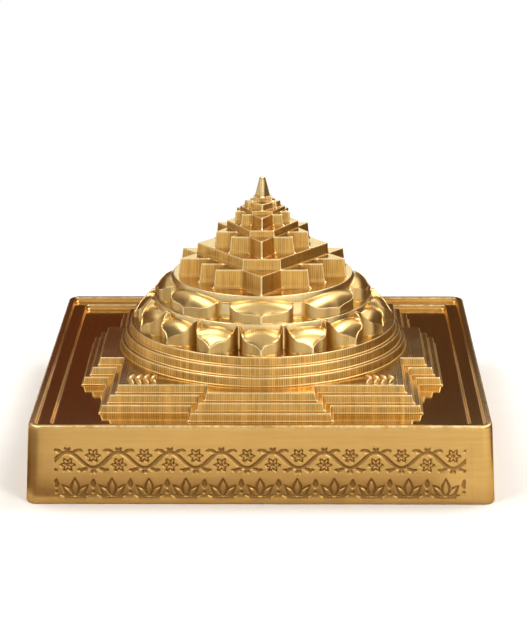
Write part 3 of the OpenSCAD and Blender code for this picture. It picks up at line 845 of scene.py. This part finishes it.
def near_line(x, z, curve, half):
    """1 on a stroke of the given half width round the curve z = curve(x), falling to 0 at its edge.
    The height difference is divided by the curve's steepness, so the stroke keeps its width on slopes."""
    step = 1e-3
    steep = np.sqrt(1 + ((curve(x + step) - curve(x - step)) / (2 * step)) ** 2)
    return np.clip(1 - np.abs(z - curve(x)) / steep / half, 0, 1)


def leaf(x, z, length, width, turn):
    """How far a point lies inside a leaf that starts at the origin, in millimetres, and below 0 outside it.
    Its half width is width * sin(pi * t^0.8) along its length, so it is full near the stalk and pointed."""
    c, s = np.cos(turn), np.sin(turn)
    t = np.clip((x * c + z * s) / length, 0, 1)
    beyond = np.abs((x * c + z * s) / length - t) * length
    return width * np.sin(np.pi * t**0.8) - np.hypot(-x * s + z * c, beyond)


def dot(x, z, radius):
    """How far a point lies inside a round dot."""
    return radius - np.hypot(x, z)


def rosette(x, z, radius):
    """How far a point lies inside a flower of six petals: its radius swings with six times the angle."""
    return radius * (0.8 + 0.2 * np.cos(6 * np.arctan2(z, x))) - np.hypot(x, z)


def filled(inside, soft=0.16):
    """1 well inside a form, falling to 0 at its outline."""
    return np.clip(inside / soft, 0, 1)


def outline(inside, half):
    """1 on a stroke of the given half width along the inner side of a form's outline."""
    return np.clip((half - np.abs(inside - half)) / half * FLAT_BOTTOM, 0, 1)


def repeat(x, pitch, shift=0.0):
    """Distance along the row from the middle of the nearest repeat."""
    return (x - shift + pitch / 2) % pitch - pitch / 2


def deepest(*strokes):
    """Strokes laid over each other: the strongest one counts at each point."""
    return np.maximum.reduce(strokes)


print("flat share of a stroke's half width:", 1 - 1 / FLAT_BOTTOM)


# %% Band rows
VINE_PITCH, VINE_SWING, VINE_STEM = 8.3, 1.3, 0.36
ROSETTE_R, ROSETTE_DOWN, ROSETTE_LINE, ROSETTE_EYE = 1.3, 0.78, 0.22, 0.36
VINE_LEAVES = [(0.75, 1.25, 1.75, 0.36, 0.42), (0.1, 1.45, 0.9, 0.26, 1.2), (1.55, -1.55, 1.25, 0.28, -0.2)]
FLOWER_PITCH, FLOWER_FOOT, FLOWER_LINE = 6.0, -1.5, 0.24
UPRIGHT = np.pi / 2
MIDDLE_PETAL, MIDDLE_COVER = (3.3, 0.85, UPRIGHT), (3.3, 0.95, UPRIGHT)
SIDE_PETAL, LOW_LEAF, BUD = (2.9, 0.72, 0.82), (1.9, 0.36, 0.18), (1.75, 0.46, UPRIGHT)
GROUND_LINE, GROUND_HALF, BUD_DOT = 0.27, 1.7, 0.3


def vine_row(x, z):
    """A wavy stem, z = swing * sin(2 pi x / pitch), with an outlined rosette in every bend and pairs of
    leaves beside every crest. A leaf is (start x, start z, length, half width, turn)."""
    stem = near_line(x, z, lambda v: VINE_SWING * np.sin(2 * np.pi * v / VINE_PITCH), VINE_STEM)
    art = np.clip(stem * FLAT_BOTTOM, 0, 1)
    for side in (1, -1):
        local = repeat(x, VINE_PITCH, side * VINE_PITCH / 4)
        up = side * z
        petals = outline(rosette(local, up + ROSETTE_DOWN, ROSETTE_R), ROSETTE_LINE)
        art = deepest(art, petals, filled(dot(local, up + ROSETTE_DOWN, ROSETTE_EYE)))
        for start, rise, length, width, turn in VINE_LEAVES:
            art = deepest(art, filled(leaf(np.abs(local) - start, up - rise, length, width, turn)))
    return art


def lotus_row(x, z):
    """Open lotus flowers, three broad outlined petals, two side leaves and a stroke below each, with a bud
    over a dot between two flowers. A petal is (length, half width, turn)."""
    local = repeat(x, FLOWER_PITCH)
    mirror = np.abs(local)
    foot = z - FLOWER_FOOT
    middle = outline(leaf(local, foot, *MIDDLE_PETAL), FLOWER_LINE)
    uncovered = leaf(local, foot, *MIDDLE_COVER) < 0
    beside = outline(leaf(mirror - 0.25, foot, *SIDE_PETAL), FLOWER_LINE) * uncovered
    low_leaf = filled(leaf(mirror - 0.7, z + 1.45, *LOW_LEAF))
    ground = filled(GROUND_LINE - np.abs(z + 1.75)) * (mirror < GROUND_HALF)
    between = np.abs(repeat(x, FLOWER_PITCH, FLOWER_PITCH / 2))
    bud = filled(leaf(between, z + 0.1, *BUD))
    return deepest(middle, beside, low_leaf, ground, bud, filled(dot(between, z + 0.65, BUD_DOT)))


print("a bend of the vine every", VINE_PITCH / 2, "mm, a flower every", FLOWER_PITCH, "mm")


# %% Band mesh
BAND_COLUMNS, BAND_ROWS, END_GUARD = 720, 96, 3e-4
BAND_MARGIN, DRAWING_HALF = 0.4, 33.2
VINE_Z, FLOWERS_Z = 7.4, 2.75
GROOVE_DEPTH, GROOVE_STEEP = 0.22, 1.3


def guarded(low, high, count, guard):
    """Evenly spaced values with one more close to each end, which keeps the smoothed border from showing."""
    return np.concatenate([[low], np.linspace(low + guard, high - guard, count - 2), [high]])


def groove_shares(share, x, z):
    """Share of the full depth at each point: the drawing, faded out at the band's border, with its sides
    rounded off by t^2 * (3 - 2 t)."""
    art = deepest(vine_row(x, z - VINE_Z), lotus_row(x, z - FLOWERS_Z)) * (np.abs(x) < DRAWING_HALF)
    from_ends = (BAND_SHARE - np.abs(share)) * (wall_half(z) - CORNER_R)
    margin = np.minimum(np.minimum(z - BAND_LOW, BAND_HIGH - z), from_ends)
    t = np.clip(art * np.clip(margin / BAND_MARGIN, 0, 1) * GROOVE_STEEP, 0, 1)
    return t * t * (3 - 2 * t)


def engraved_band():
    """A thin plate in the pocket: a fine front grid pushed in by the drawing, a skirt, and one back face."""
    share, z = np.meshgrid(guarded(-BAND_SHARE, BAND_SHARE, BAND_COLUMNS, END_GUARD),
                           guarded(BAND_LOW, BAND_HIGH, BAND_ROWS, BAND_GUARD))
    x = share * (wall_half(z) - CORNER_R)
    groove = groove_shares(share, x, z)
    front = np.stack([x, -wall_half(z) + GROOVE_DEPTH * groove, z], -1).reshape(-1, 3)
    index = np.arange(x.size).reshape(x.shape)
    faces = np.stack([index[:-1, :-1], index[:-1, 1:], index[1:, 1:], index[1:, :-1]], -1)
    faces = faces.reshape(-1, 4).tolist()
    border = np.concatenate([index[0, :-1], index[:-1, -1], index[-1, :0:-1], index[:0:-1, 0]])
    back = front[border] + [0, BAND_DEPTH - BAND_GUARD, 0]
    behind = np.arange(len(border)) + x.size
    faces += np.stack([border, behind, np.roll(behind, -1), np.roll(border, -1)], -1).tolist()
    faces.append(behind[::-1].tolist())
    wear_and_painted_light = np.concatenate([-groove.ravel(), np.zeros(len(border))])
    piece = finish_piece("engraved_band", np.concatenate([front, back]), faces, wear_and_painted_light, "tray_brass")
    piece.data.set_sharp_from_angle(angle=SHARP)
    print("engraved_band:", len(piece.data.polygons), "faces")


engraved_band()


# %% [markdown]
# ## Brass
# Cut brass is a metal with a warm tint, and what makes it look cut is the surface. The cutter went back and
# forth in parallel passes, so its marks stand upright on the walls, at one pitch in x all over the object.
# A scanned texture would show seams where the tiers meet. This pattern reads Object coordinates instead,
# scaled to millimetres, so the passes line up from tier to tier as on the real piece.
# Wear and painted highlights then lighten the edges, and grime and painted shade darken the corners. The
# level treads are smoother than the walls and tinted paler, a painted highlight; the tray's walls are
# brushed along, its recess is polished to a mirror with fine scuffs, and painted shade darkens the foot of
# its walls.

# %% Shader arithmetic
def new_material(name):
    """A material with nodes, with its tree and its main shader."""
    material = bpy.data.materials.new(name)
    material.use_nodes = True
    return material, material.node_tree, material.node_tree.nodes["Principled BSDF"]


def add_node(tree, kind, **values):
    """A shader node with its plain settings and constant inputs set by name."""
    node = tree.nodes.new(kind)
    for key, value in values.items():
        if hasattr(node, key):
            setattr(node, key, value)
        else:
            node.inputs[key.replace("_", " ")].default_value = value
    return node


def maths(tree, operation, a, b=None, clamp=False):
    """One step of arithmetic on two sockets or numbers."""
    node = add_node(tree, "ShaderNodeMath", operation=operation, use_clamp=clamp)
    for socket, value in zip(node.inputs, (a, b)):
        if isinstance(value, (int, float)):
            socket.default_value = value
        elif value is not None:
            tree.links.new(value, socket)
    return node.outputs[0]


def times(tree, a, b, clamp=False):
    """Product of two sockets or numbers."""
    return maths(tree, "MULTIPLY", a, b, clamp)


def plus(tree, a, b, clamp=False):
    """Sum of two sockets or numbers."""
    return maths(tree, "ADD", a, b, clamp)


def ramp(tree, value, start, steep):
    """0 up to the start, then rising by steep per unit to 1. A negative steep makes it fall to 0 instead."""
    return times(tree, maths(tree, "SUBTRACT", value, start), steep, clamp=True)


def to_range(tree, value, low, high):
    """Maps 0..1 to low..high."""
    return plus(tree, times(tree, value, high - low), low)


def within(tree, value, half, soft=0.3):
    """1 where a coordinate is nearer than half to zero, falling to 0 over the soft width beyond it."""
    reach = maths(tree, "ABSOLUTE", value)
    return maths(tree, "DIVIDE", maths(tree, "SUBTRACT", half + soft, reach), soft, clamp=True)


print("arithmetic for sockets: maths, times, plus, ramp, to_range, within")


# %% Shader colours and noise
def mix_colour(tree, factor, a, b):
    """Blend of two colours by a factor."""
    node = add_node(tree, "ShaderNodeMix", data_type="RGBA")
    tree.links.new(factor, node.inputs["Factor"])
    for name, value in (("A", a), ("B", b)):
        socket = [s for s in node.inputs if s.name == name and s.type == "RGBA"][0]
        if isinstance(value, tuple):
            socket.default_value = (*value, 1)
        else:
            tree.links.new(value, socket)
    return [s for s in node.outputs if s.type == "RGBA"][0]


def millimetres(tree):
    """The object's own coordinates, in millimetres."""
    scale = add_node(tree, "ShaderNodeVectorMath", operation="SCALE", Scale=1 / MM)
    tree.links.new(tree.nodes.new("ShaderNodeTexCoord").outputs["Object"], scale.inputs[0])
    return scale.outputs[0]


def parts_of(tree, vector):
    """The x, y and z of a vector."""
    split = tree.nodes.new("ShaderNodeSeparateXYZ")
    tree.links.new(vector, split.inputs[0])
    return split.outputs["X"], split.outputs["Y"], split.outputs["Z"]


def noise(tree, where, scale, detail=2.0, rough=0.5):
    """Smooth noise on millimetres, with its own number of cells per millimetre along x, y and z."""
    mapping = add_node(tree, "ShaderNodeMapping", Scale=scale)
    tree.links.new(where, mapping.inputs["Vector"])
    texture = add_node(tree, "ShaderNodeTexNoise", Scale=1.0, Detail=detail, Roughness=rough)
    tree.links.new(mapping.outputs[0], texture.inputs["Vector"])
    return texture.outputs["Fac"]


print("colours, places and noise: mix_colour, millimetres, parts_of, noise")


# %% Marks on the brass
RASTER_PITCH = 0.36
WORN_AND_HIGHLIGHT = (0.97, 0.8, 0.45)
TREAD_HIGHLIGHT = (0.93, 0.76, 0.45)
GRIME_AND_SHADE = (0.17, 0.08, 0.022)
MARK = (0.17, 0.085, 0.022)
SWEPT = (0.45, 0.265, 0.08)
TRAY_FOOT_SHADE = (0.2, 0.1, 0.03)
MIRROR = (0.95, 0.84, 0.62)
SCUFFED = (0.8, 0.7, 0.5)
FOOT_SHADE_TOP, FOOT_SHADE_RISE = 3.8, 0.09


def worn_and_painted_places(tree, where, patchy):
    """How bright the edges are from rubbing and painted highlight, and how dark the corners are from grime
    and painted shade, both read from the number kept in the mesh. Noise breaks the bright edges up, more so
    the larger patchy is."""
    wear_and_painted_light = add_node(tree, "ShaderNodeAttribute", attribute_name="wear_and_painted_light").outputs["Fac"]
    spots = to_range(tree, noise(tree, where, (0.9, 0.9, 0.9), 4.0, 0.7), 0.1 - patchy, 1.5 + patchy)
    edge = times(tree, maths(tree, "MAXIMUM", wear_and_painted_light, 0.0), spots, clamp=True)
    return edge, maths(tree, "MAXIMUM", times(tree, wear_and_painted_light, -1.0), 0.0)


def raster_marks(tree, where):
    """Relief and dark lines of the cutter's passes: a sine in x at the pitch, mixed with noise that is drawn
    out in y and z, both stronger in some patches than in others."""
    wave = maths(tree, "SINE", times(tree, parts_of(tree, where)[0], 2 * np.pi / RASTER_PITCH))
    patch = noise(tree, where, (0.14, 0.14, 0.2))
    streak = noise(tree, where, (2.6, 0.06, 0.09), 3.0, 0.6)
    relief = plus(tree, times(tree, wave, 0.22), times(tree, streak, 1.6))
    relief = times(tree, relief, to_range(tree, patch, 0.3, 1.5))
    lines = plus(tree, times(tree, wave, -0.16), noise(tree, where, (4.5, 0.12, 0.16), 2.0, 0.6))
    lines = times(tree, ramp(tree, lines, 0.34, 5.0), to_range(tree, patch, 0.1, 1.1), clamp=True)
    groups = ramp(tree, noise(tree, where, (1.1, 0.05, 0.05)), 0.3, 4.0)
    return relief, times(tree, lines, groups)


def polished_recess(tree, where, facing, level, half):
    """How far the brass is a mirror, and its scuffs, which run from front to back.
    Inside the square of the given half width level faces are full mirrors, and the risers that face left
    and right nearly so. Beyond it the left and right bars of the rim are part mirrors, the others none."""
    x, y, _ = parts_of(tree, where)
    risers = times(tree, within(tree, facing[1], 0.5, 0.1), 0.8)
    mirror = times(tree, within(tree, x, half), maths(tree, "MAXIMUM", level, risers))
    mirror = maths(tree, "MAXIMUM", mirror, times(tree, level, 0.6))
    mirror = times(tree, mirror, within(tree, y, half))
    scuffs = ramp(tree, noise(tree, where, (1.3, 0.03, 1.3), 3.0, 0.6), 0.42, 4.0)
    return mirror, scuffs


print("raster pitch:", RASTER_PITCH, "mm")

# %% Brass finish
CUT_SHEEN = (1, 0.88, 0.66, 1)
TRAY_SHEEN = (0.9, 0.66, 0.36, 1)
RELIEF = 0.02


def brass(name, tint, deep, rough, grain, raster=0.0, brush=0.0, tread=0.0, tread_highlight=0.9, recess=0.0,
          patchy=0.0):
    """Brass clouded between deep and tint, with raster passes, brushing along the walls, fine grain, edges
    lightened by rubbing and painted highlight, and corners darkened by grime and painted shade. Level faces
    change their roughness by tread, and their tint towards a paler tread colour by the weight of that
    painted highlight. With a recess of that half width, the brass inside it is polished and the foot of the
    walls darkened by painted shade."""
    material, tree, shader = new_material(name)
    shader.inputs["Metallic"].default_value = 1.0
    shader.inputs["Specular Tint"].default_value = TRAY_SHEEN if recess else CUT_SHEEN
    where = millimetres(tree)
    facing = parts_of(tree, tree.nodes.new("ShaderNodeTexCoord").outputs["Normal"])
    edge, corner = worn_and_painted_places(tree, where, patchy)
    relief, lines = raster_marks(tree, where)
    fine = noise(tree, where, (7.0, 7.0, 7.0))
    cloud = noise(tree, where, (0.11, 0.11, 0.11), 3.0, 0.6)
    brushed = noise(tree, where, (0.05, 0.05, 5.0), 3.0, 0.65)
    height = plus(tree, times(tree, relief, raster), times(tree, brushed, brush))
    height = plus(tree, height, times(tree, fine, grain))
    bump = add_node(tree, "ShaderNodeBump", Strength=1.0, Distance=RELIEF * MM)
    tree.links.new(height, bump.inputs["Height"])
    tree.links.new(bump.outputs[0], shader.inputs["Normal"])
    lines = times(tree, lines, to_range(tree, maths(tree, "ABSOLUTE", facing[2]), 1.0, 0.25))
    colour = mix_colour(tree, cloud, deep, tint)
    colour = mix_colour(tree, times(tree, lines, 0.95 * raster, clamp=True), colour, MARK)
    if brush:
        sweeps = ramp(tree, noise(tree, where, (0.09, 0.09, 1.5), 4.0, 0.65), 0.42, 2.6)
        colour = mix_colour(tree, times(tree, sweeps, 0.5 * brush), colour, SWEPT)
    # Grime and painted shade: corners, hollows, creases, grooves and the lotus walls between the stems
    # darken.
    grime_and_shade = times(tree, corner, to_range(tree, fine, 0.5, 1.0), clamp=True)
    colour = mix_colour(tree, times(tree, grime_and_shade, 0.75), colour, GRIME_AND_SHADE)
    # Wear and painted highlight: edges, ridges, the spire, stems, gaps and beads are tinted paler.
    colour = mix_colour(tree, times(tree, edge, 0.8), colour, WORN_AND_HIGHLIGHT)
    # Painted highlight: level faces are smoother and tinted towards a paler tread colour.
    level = ramp(tree, facing[2], 0.965, 40.0)
    colour = mix_colour(tree, times(tree, level, tread_highlight), colour, TREAD_HIGHLIGHT)
    roughness = plus(tree, to_range(tree, cloud, rough - 0.06, rough + 0.06), times(tree, grime_and_shade, 0.25))
    roughness = plus(tree, roughness, times(tree, level, tread))
    if recess:
        mirror, scuffs = polished_recess(tree, where, facing, level, recess)
        dull = maths(tree, "SUBTRACT", 1.0, mirror)
        glossy = times(tree, mirror, to_range(tree, scuffs, 0.1, 0.13))
        roughness = plus(tree, times(tree, roughness, dull), glossy)
        # Painted shade: the tray's brass is darkened towards the bottom, below 3.8 mm.
        foot = ramp(tree, parts_of(tree, where)[2], FOOT_SHADE_TOP, -FOOT_SHADE_RISE)
        colour = mix_colour(tree, foot, colour, TRAY_FOOT_SHADE)
        colour = mix_colour(tree, mirror, colour, mix_colour(tree, scuffs, MIRROR, SCUFFED))
        tree.links.new(to_range(tree, dull, 0.1, 1.0), bump.inputs["Strength"])
    tree.links.new(colour, shader.inputs["Base Color"])
    tree.links.new(roughness, shader.inputs["Roughness"])
    return material


print("relief per unit of bump:", RELIEF, "mm")


# %% The four brasses
FINISH = {
    "star_brass": brass("star_brass", (0.77, 0.46, 0.13), (0.605, 0.335, 0.084), rough=0.36, grain=0.1,
                        raster=0.7, tread=-0.14),
    "tier_brass": brass("tier_brass", (0.76, 0.46, 0.137), (0.605, 0.342, 0.088), rough=0.38, grain=0.12,
                        raster=1.0, tread=-0.18),
    # The lotus brass is tinted paler than the rest, painted light that brightens the lotuses.
    "lotus_brass": brass("lotus_brass", (0.77, 0.54, 0.22), (0.62, 0.41, 0.15), rough=0.3, grain=0.06,
                         raster=0.35, tread=-0.08),
    "tray_brass": brass("tray_brass", (0.68, 0.42, 0.135), (0.53, 0.31, 0.09), rough=0.36, grain=0.14,
                        brush=0.8, tread_highlight=0.0, recess=36.5, patchy=3.0),
}
for piece in [o for o in bpy.data.objects if o.type == "MESH" and "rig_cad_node" not in o]:
    piece.data.materials.append(FINISH[piece["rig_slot"]])
print("finishes:", ", ".join(FINISH))


# %% [markdown]
# ## Steel
# Inside the stack a bar, a washer and a nut hold the plates together. They could be drawn anew like the
# tiers, but they hardly show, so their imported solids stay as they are. Only the finish is new: bright
# steel with fine rings along the height, as a lathe leaves them.

# %% Steel of the tie parts
STEEL, STEEL_DEEP = (0.6, 0.59, 0.57), (0.42, 0.42, 0.41)


def steel():
    """Plain turned steel: noise that is stretched across and fine in z gives its rings."""
    material, tree, shader = new_material("tie_steel")
    shader.inputs["Metallic"].default_value = 1.0
    rings = noise(tree, millimetres(tree), (0.4, 0.4, 9.0))
    tree.links.new(mix_colour(tree, rings, STEEL_DEEP, STEEL), shader.inputs["Base Color"])
    tree.links.new(to_range(tree, rings, 0.25, 0.45), shader.inputs["Roughness"])
    return material


TIE_STEEL = steel()
for tie in ("tie_bar", "tie_washer", "tie_nut"):
    frame["nodes"][tie].data.materials.clear()
    frame["nodes"][tie].data.materials.append(TIE_STEEL)
print("steel on the tie parts")


# %% [markdown]
# ## Stage
# The object stands on a plain pale floor that runs up into a backdrop. A flat plane would show a horizon, so
# the floor turns up in a quarter round. Close to the object the paper is lit as it is and takes the soft
# shadow. Further away the camera sees it glow evenly, which keeps the background clean.

# %% Floor and backdrop
FLOOR_REACH, BACKDROP_Y, BEND_R, BACKDROP_H = 1.2, 0.9, 0.35, 1.4
PAPER = (0.86, 0.85, 0.83, 1)


def pale_paper():
    """Matt paper that glows for the camera away from the object, and for metal on its lower part."""
    material, tree, shader = new_material("pale_paper")
    shader.inputs["Base Color"].default_value = PAPER
    shader.inputs["Roughness"].default_value = 0.9
    glow = add_node(tree, "ShaderNodeEmission", Strength=1.0)
    ray = tree.nodes.new("ShaderNodeLightPath").outputs
    place = tree.nodes.new("ShaderNodeTexCoord").outputs["Object"]
    low = ramp(tree, parts_of(tree, place)[2], 0.75, -3.0)
    seen = plus(tree, ray["Is Camera Ray"], times(tree, ray["Is Glossy Ray"], low))
    seen = plus(tree, seen, ray["Is Transmission Ray"], clamp=True)
    reach = add_node(tree, "ShaderNodeVectorMath", operation="LENGTH")
    tree.links.new(place, reach.inputs[0])
    far = ramp(tree, reach.outputs["Value"], 0.06, 9.0)
    blend = tree.nodes.new("ShaderNodeMixShader")
    tree.links.new(times(tree, far, seen), blend.inputs[0])
    tree.links.new(shader.outputs[0], blend.inputs[1])
    tree.links.new(glow.outputs[0], blend.inputs[2])
    tree.links.new(blend.outputs[0], tree.nodes["Material Output"].inputs["Surface"])
    return material


def sweep():
    """A floor that turns up into a wall behind: a quarter round between two straight stretches, along x."""
    bend = quarter(13)
    y = np.concatenate([[-FLOOR_REACH], BACKDROP_Y - BEND_R + BEND_R * np.sin(bend), [BACKDROP_Y]])
    z = np.concatenate([[0], BEND_R * (1 - np.cos(bend)), [BACKDROP_H]])
    x = np.array([-FLOOR_REACH, FLOOR_REACH])
    points = np.stack([np.repeat(x, len(y)), np.tile(y, 2), np.tile(z, 2)], -1)
    k = np.arange(len(y) - 1)
    faces = np.stack([k, k + len(y), k + len(y) + 1, k + 1], -1)
    mesh = bpy.data.meshes.new("sweep")
    mesh.from_pydata(points.tolist(), [], faces.tolist())
    mesh.polygons.foreach_set("use_smooth", np.ones(len(faces), bool))
    mesh.materials.append(pale_paper())
    floor = bpy.data.objects.new("sweep", mesh)
    bpy.context.scene.collection.objects.link(floor)
    print("sweep:", len(faces), "faces")


sweep()


# %% [markdown]
# ## Light
# Metal shows what is around it. Small bright lamps would give hard white spots, so four large soft lamps
# stand around the object. The room is dim between a bright horizon and a bright ceiling, which gives
# broad highlights with deep tones between them.

# %% Lamps and room
AIM = (0, 0, 0.02)
ROOM_TINT = (1, 0.98, 0.95, 1)


def softbox(name, place, size, watts, colour=(1, 1, 1)):
    """A square area lamp at a place in metres, turned to the object."""
    lamp = bpy.data.lights.new(name, "AREA")
    lamp.size = size
    lamp.energy = watts
    lamp.color = colour
    lamp_object = bpy.data.objects.new(name, lamp)
    bpy.context.scene.collection.objects.link(lamp_object)
    lamp_object.location = place
    lamp_object.rotation_euler = (Vector(AIM) - Vector(place)).to_track_quat("-Z", "Y").to_euler()


def room(low_glow, high_glow, base):
    """A room whose light depends on height: bright near the horizon, dim above it and bright overhead."""
    world = bpy.data.worlds.new("room")
    world.use_nodes = True
    tree = world.node_tree
    background = tree.nodes["Background"]
    background.inputs["Color"].default_value = ROOM_TINT
    up = parts_of(tree, tree.nodes.new("ShaderNodeTexCoord").outputs["Generated"])[2]
    low = times(tree, ramp(tree, up, 0.28, -7.0), low_glow)
    high = times(tree, ramp(tree, up, 0.68, 5.0), high_glow)
    tree.links.new(plus(tree, plus(tree, low, high), base), background.inputs["Strength"])
    bpy.context.scene.world = world


softbox("key", (0.30, -0.36, 0.46), 0.2, 1.6, (1.0, 0.96, 0.9))
softbox("fill", (-0.34, -0.26, 0.50), 0.2, 1.2, (1.0, 0.97, 0.93))
softbox("over_right", (0.24, 0.12, 0.5), 0.24, 1.3)
softbox("over_left", (-0.24, 0.12, 0.5), 0.24, 0.9)
room(low_glow=0.8, high_glow=0.55, base=0.1)
print("lamps:", len(bpy.data.lights))


# %% [markdown]
# ## Cards and panels
# A photographer puts dark cards beside polished metal, so that it doesn't mirror only white paper, and
# bright panels where it needs a highlight. Here dark warm cards stand behind and beside the tray or lie
# next to it. Bright ones stand further off or lie where a glint is wanted. A picture of a room could be
# mirrored instead, but a card can be put just where the metal needs it. The cards show in reflections
# only: the camera doesn't see them, and they cast no shadow.

# %% Cards
CARD_LIFT = 0.001
WARM_DARK = (0.3, 0.18, 0.1)
PANEL = (1, 0.97, 0.92)


def card(name, corners, tone, glow=0.0):
    """A flat card with the given corners, dark or glowing, that shows in reflections only."""
    material, _, shader = new_material(name)
    shader.inputs["Base Color"].default_value = (0, 0, 0, 1) if glow else (*tone, 1)
    shader.inputs["Roughness"].default_value = 1.0
    shader.inputs["Emission Color"].default_value = (*tone, 1)
    shader.inputs["Emission Strength"].default_value = glow
    mesh = bpy.data.meshes.new(name)
    mesh.from_pydata(corners, [], [[0, 1, 2, 3]])
    mesh.materials.append(material)
    sheet = bpy.data.objects.new(name, mesh)
    bpy.context.scene.collection.objects.link(sheet)
    sheet.visible_camera = False
    sheet.visible_shadow = False
    sheet.visible_diffuse = False
    print("card:", name)


def standing(x0, y0, x1, y1, low, high):
    """Corners of an upright card over the line from (x0, y0) to (x1, y1)."""
    return [(x0, y0, low), (x1, y1, low), (x1, y1, high), (x0, y0, high)]


def lying(x0, x1, y0, y1):
    """Corners of a card lying on the floor."""
    return [(x, y, CARD_LIFT) for x, y in ((x0, y0), (x1, y0), (x1, y1), (x0, y1))]


card("dark_right", standing(0.19, -0.05, 0.19, 0.3, 0.002, 0.2), (0.14, 0.08, 0.045))
card("dark_left", standing(-0.2, 0.09, -0.2, 0.35, 0.002, 0.2), WARM_DARK)
card("behind_left", standing(-0.075, 0.045, -0.02, 0.045, 0.012, 0.047), (0.093, 0.023, 0.0035), 1.0)
card("behind_right", standing(0.021, 0.045, 0.075, 0.045, 0.012, 0.047), (0.076, 0.029, 0.0057), 1.0)
card("low_right", lying(0.05, 0.19, -0.03, 0.3), (0.12, 0.055, 0.022))
card("low_left", lying(-0.2, -0.05, 0.05, 0.3), WARM_DARK)
card("low_corner", lying(-0.11, -0.041, -0.09, -0.01), (0.12, 0.06, 0.03))
card("low_front", lying(-0.07, 0.03, -0.05, -0.039), (0.2, 0.11, 0.055))
card("glint_right", lying(0.07, 0.13, -0.125, -0.07), (1, 0.97, 0.9), 2.4)
card("panel_back", standing(0.0, 0.45, 0.5, 0.45, 0.27, 0.6), (1, 0.98, 0.95), 1.8)
card("panel_front", standing(-0.3, -0.6, 0.05, -0.6, 0.0, 0.3), PANEL, 1.0)
card("panel_side", standing(0.05, -0.6, 0.45, -0.6, 0.0, 0.3), PANEL, 1.5)


# %% [markdown]
# ## Camera
# The camera stands where the photograph's camera stood: nearly straight in front, about 17 degrees up, and
# far away for the object's size, which makes the view calm. A camera placed by eye would never line up, so
# its angles, distance and lens are the ones at which the tray's corners and the tip fall where they should.

# %% Camera
AZIMUTH, ELEVATION, ROLL = np.radians([0.854, 16.877, -0.21])
DISTANCE, FOCAL_PIXELS, LONG_PIXELS, SENSOR = 409.585, 2336.0, 640, 36.0
TARGET = np.array([0.098, 0, 19.703])
away = np.append(np.cos(ELEVATION) * np.array([np.sin(AZIMUTH), -np.cos(AZIMUTH)]), np.sin(ELEVATION))
right = np.array([np.cos(AZIMUTH), np.sin(AZIMUTH), 0])
upward = np.cross(away, right)
rolled_right = np.cos(ROLL) * right + np.sin(ROLL) * upward
rolled_up = np.cos(ROLL) * upward - np.sin(ROLL) * right
lens = bpy.data.cameras.new("camera")
lens.sensor_fit = "VERTICAL"
lens.sensor_height = SENSOR
lens.lens = FOCAL_PIXELS * SENSOR / LONG_PIXELS
lens.clip_start = 0.01
camera = bpy.data.objects.new("camera", lens)
bpy.context.scene.collection.objects.link(camera)
axes = Matrix(np.column_stack([rolled_right, rolled_up, away]).tolist()).to_4x4()
camera.matrix_world = Matrix.Translation(Vector((TARGET + DISTANCE * away) * MM)) @ axes
bpy.context.scene.camera = camera
bpy.context.scene.view_settings.view_transform = "Standard"
print("lens:", round(lens.lens, 1), "mm at", round(DISTANCE), "mm")
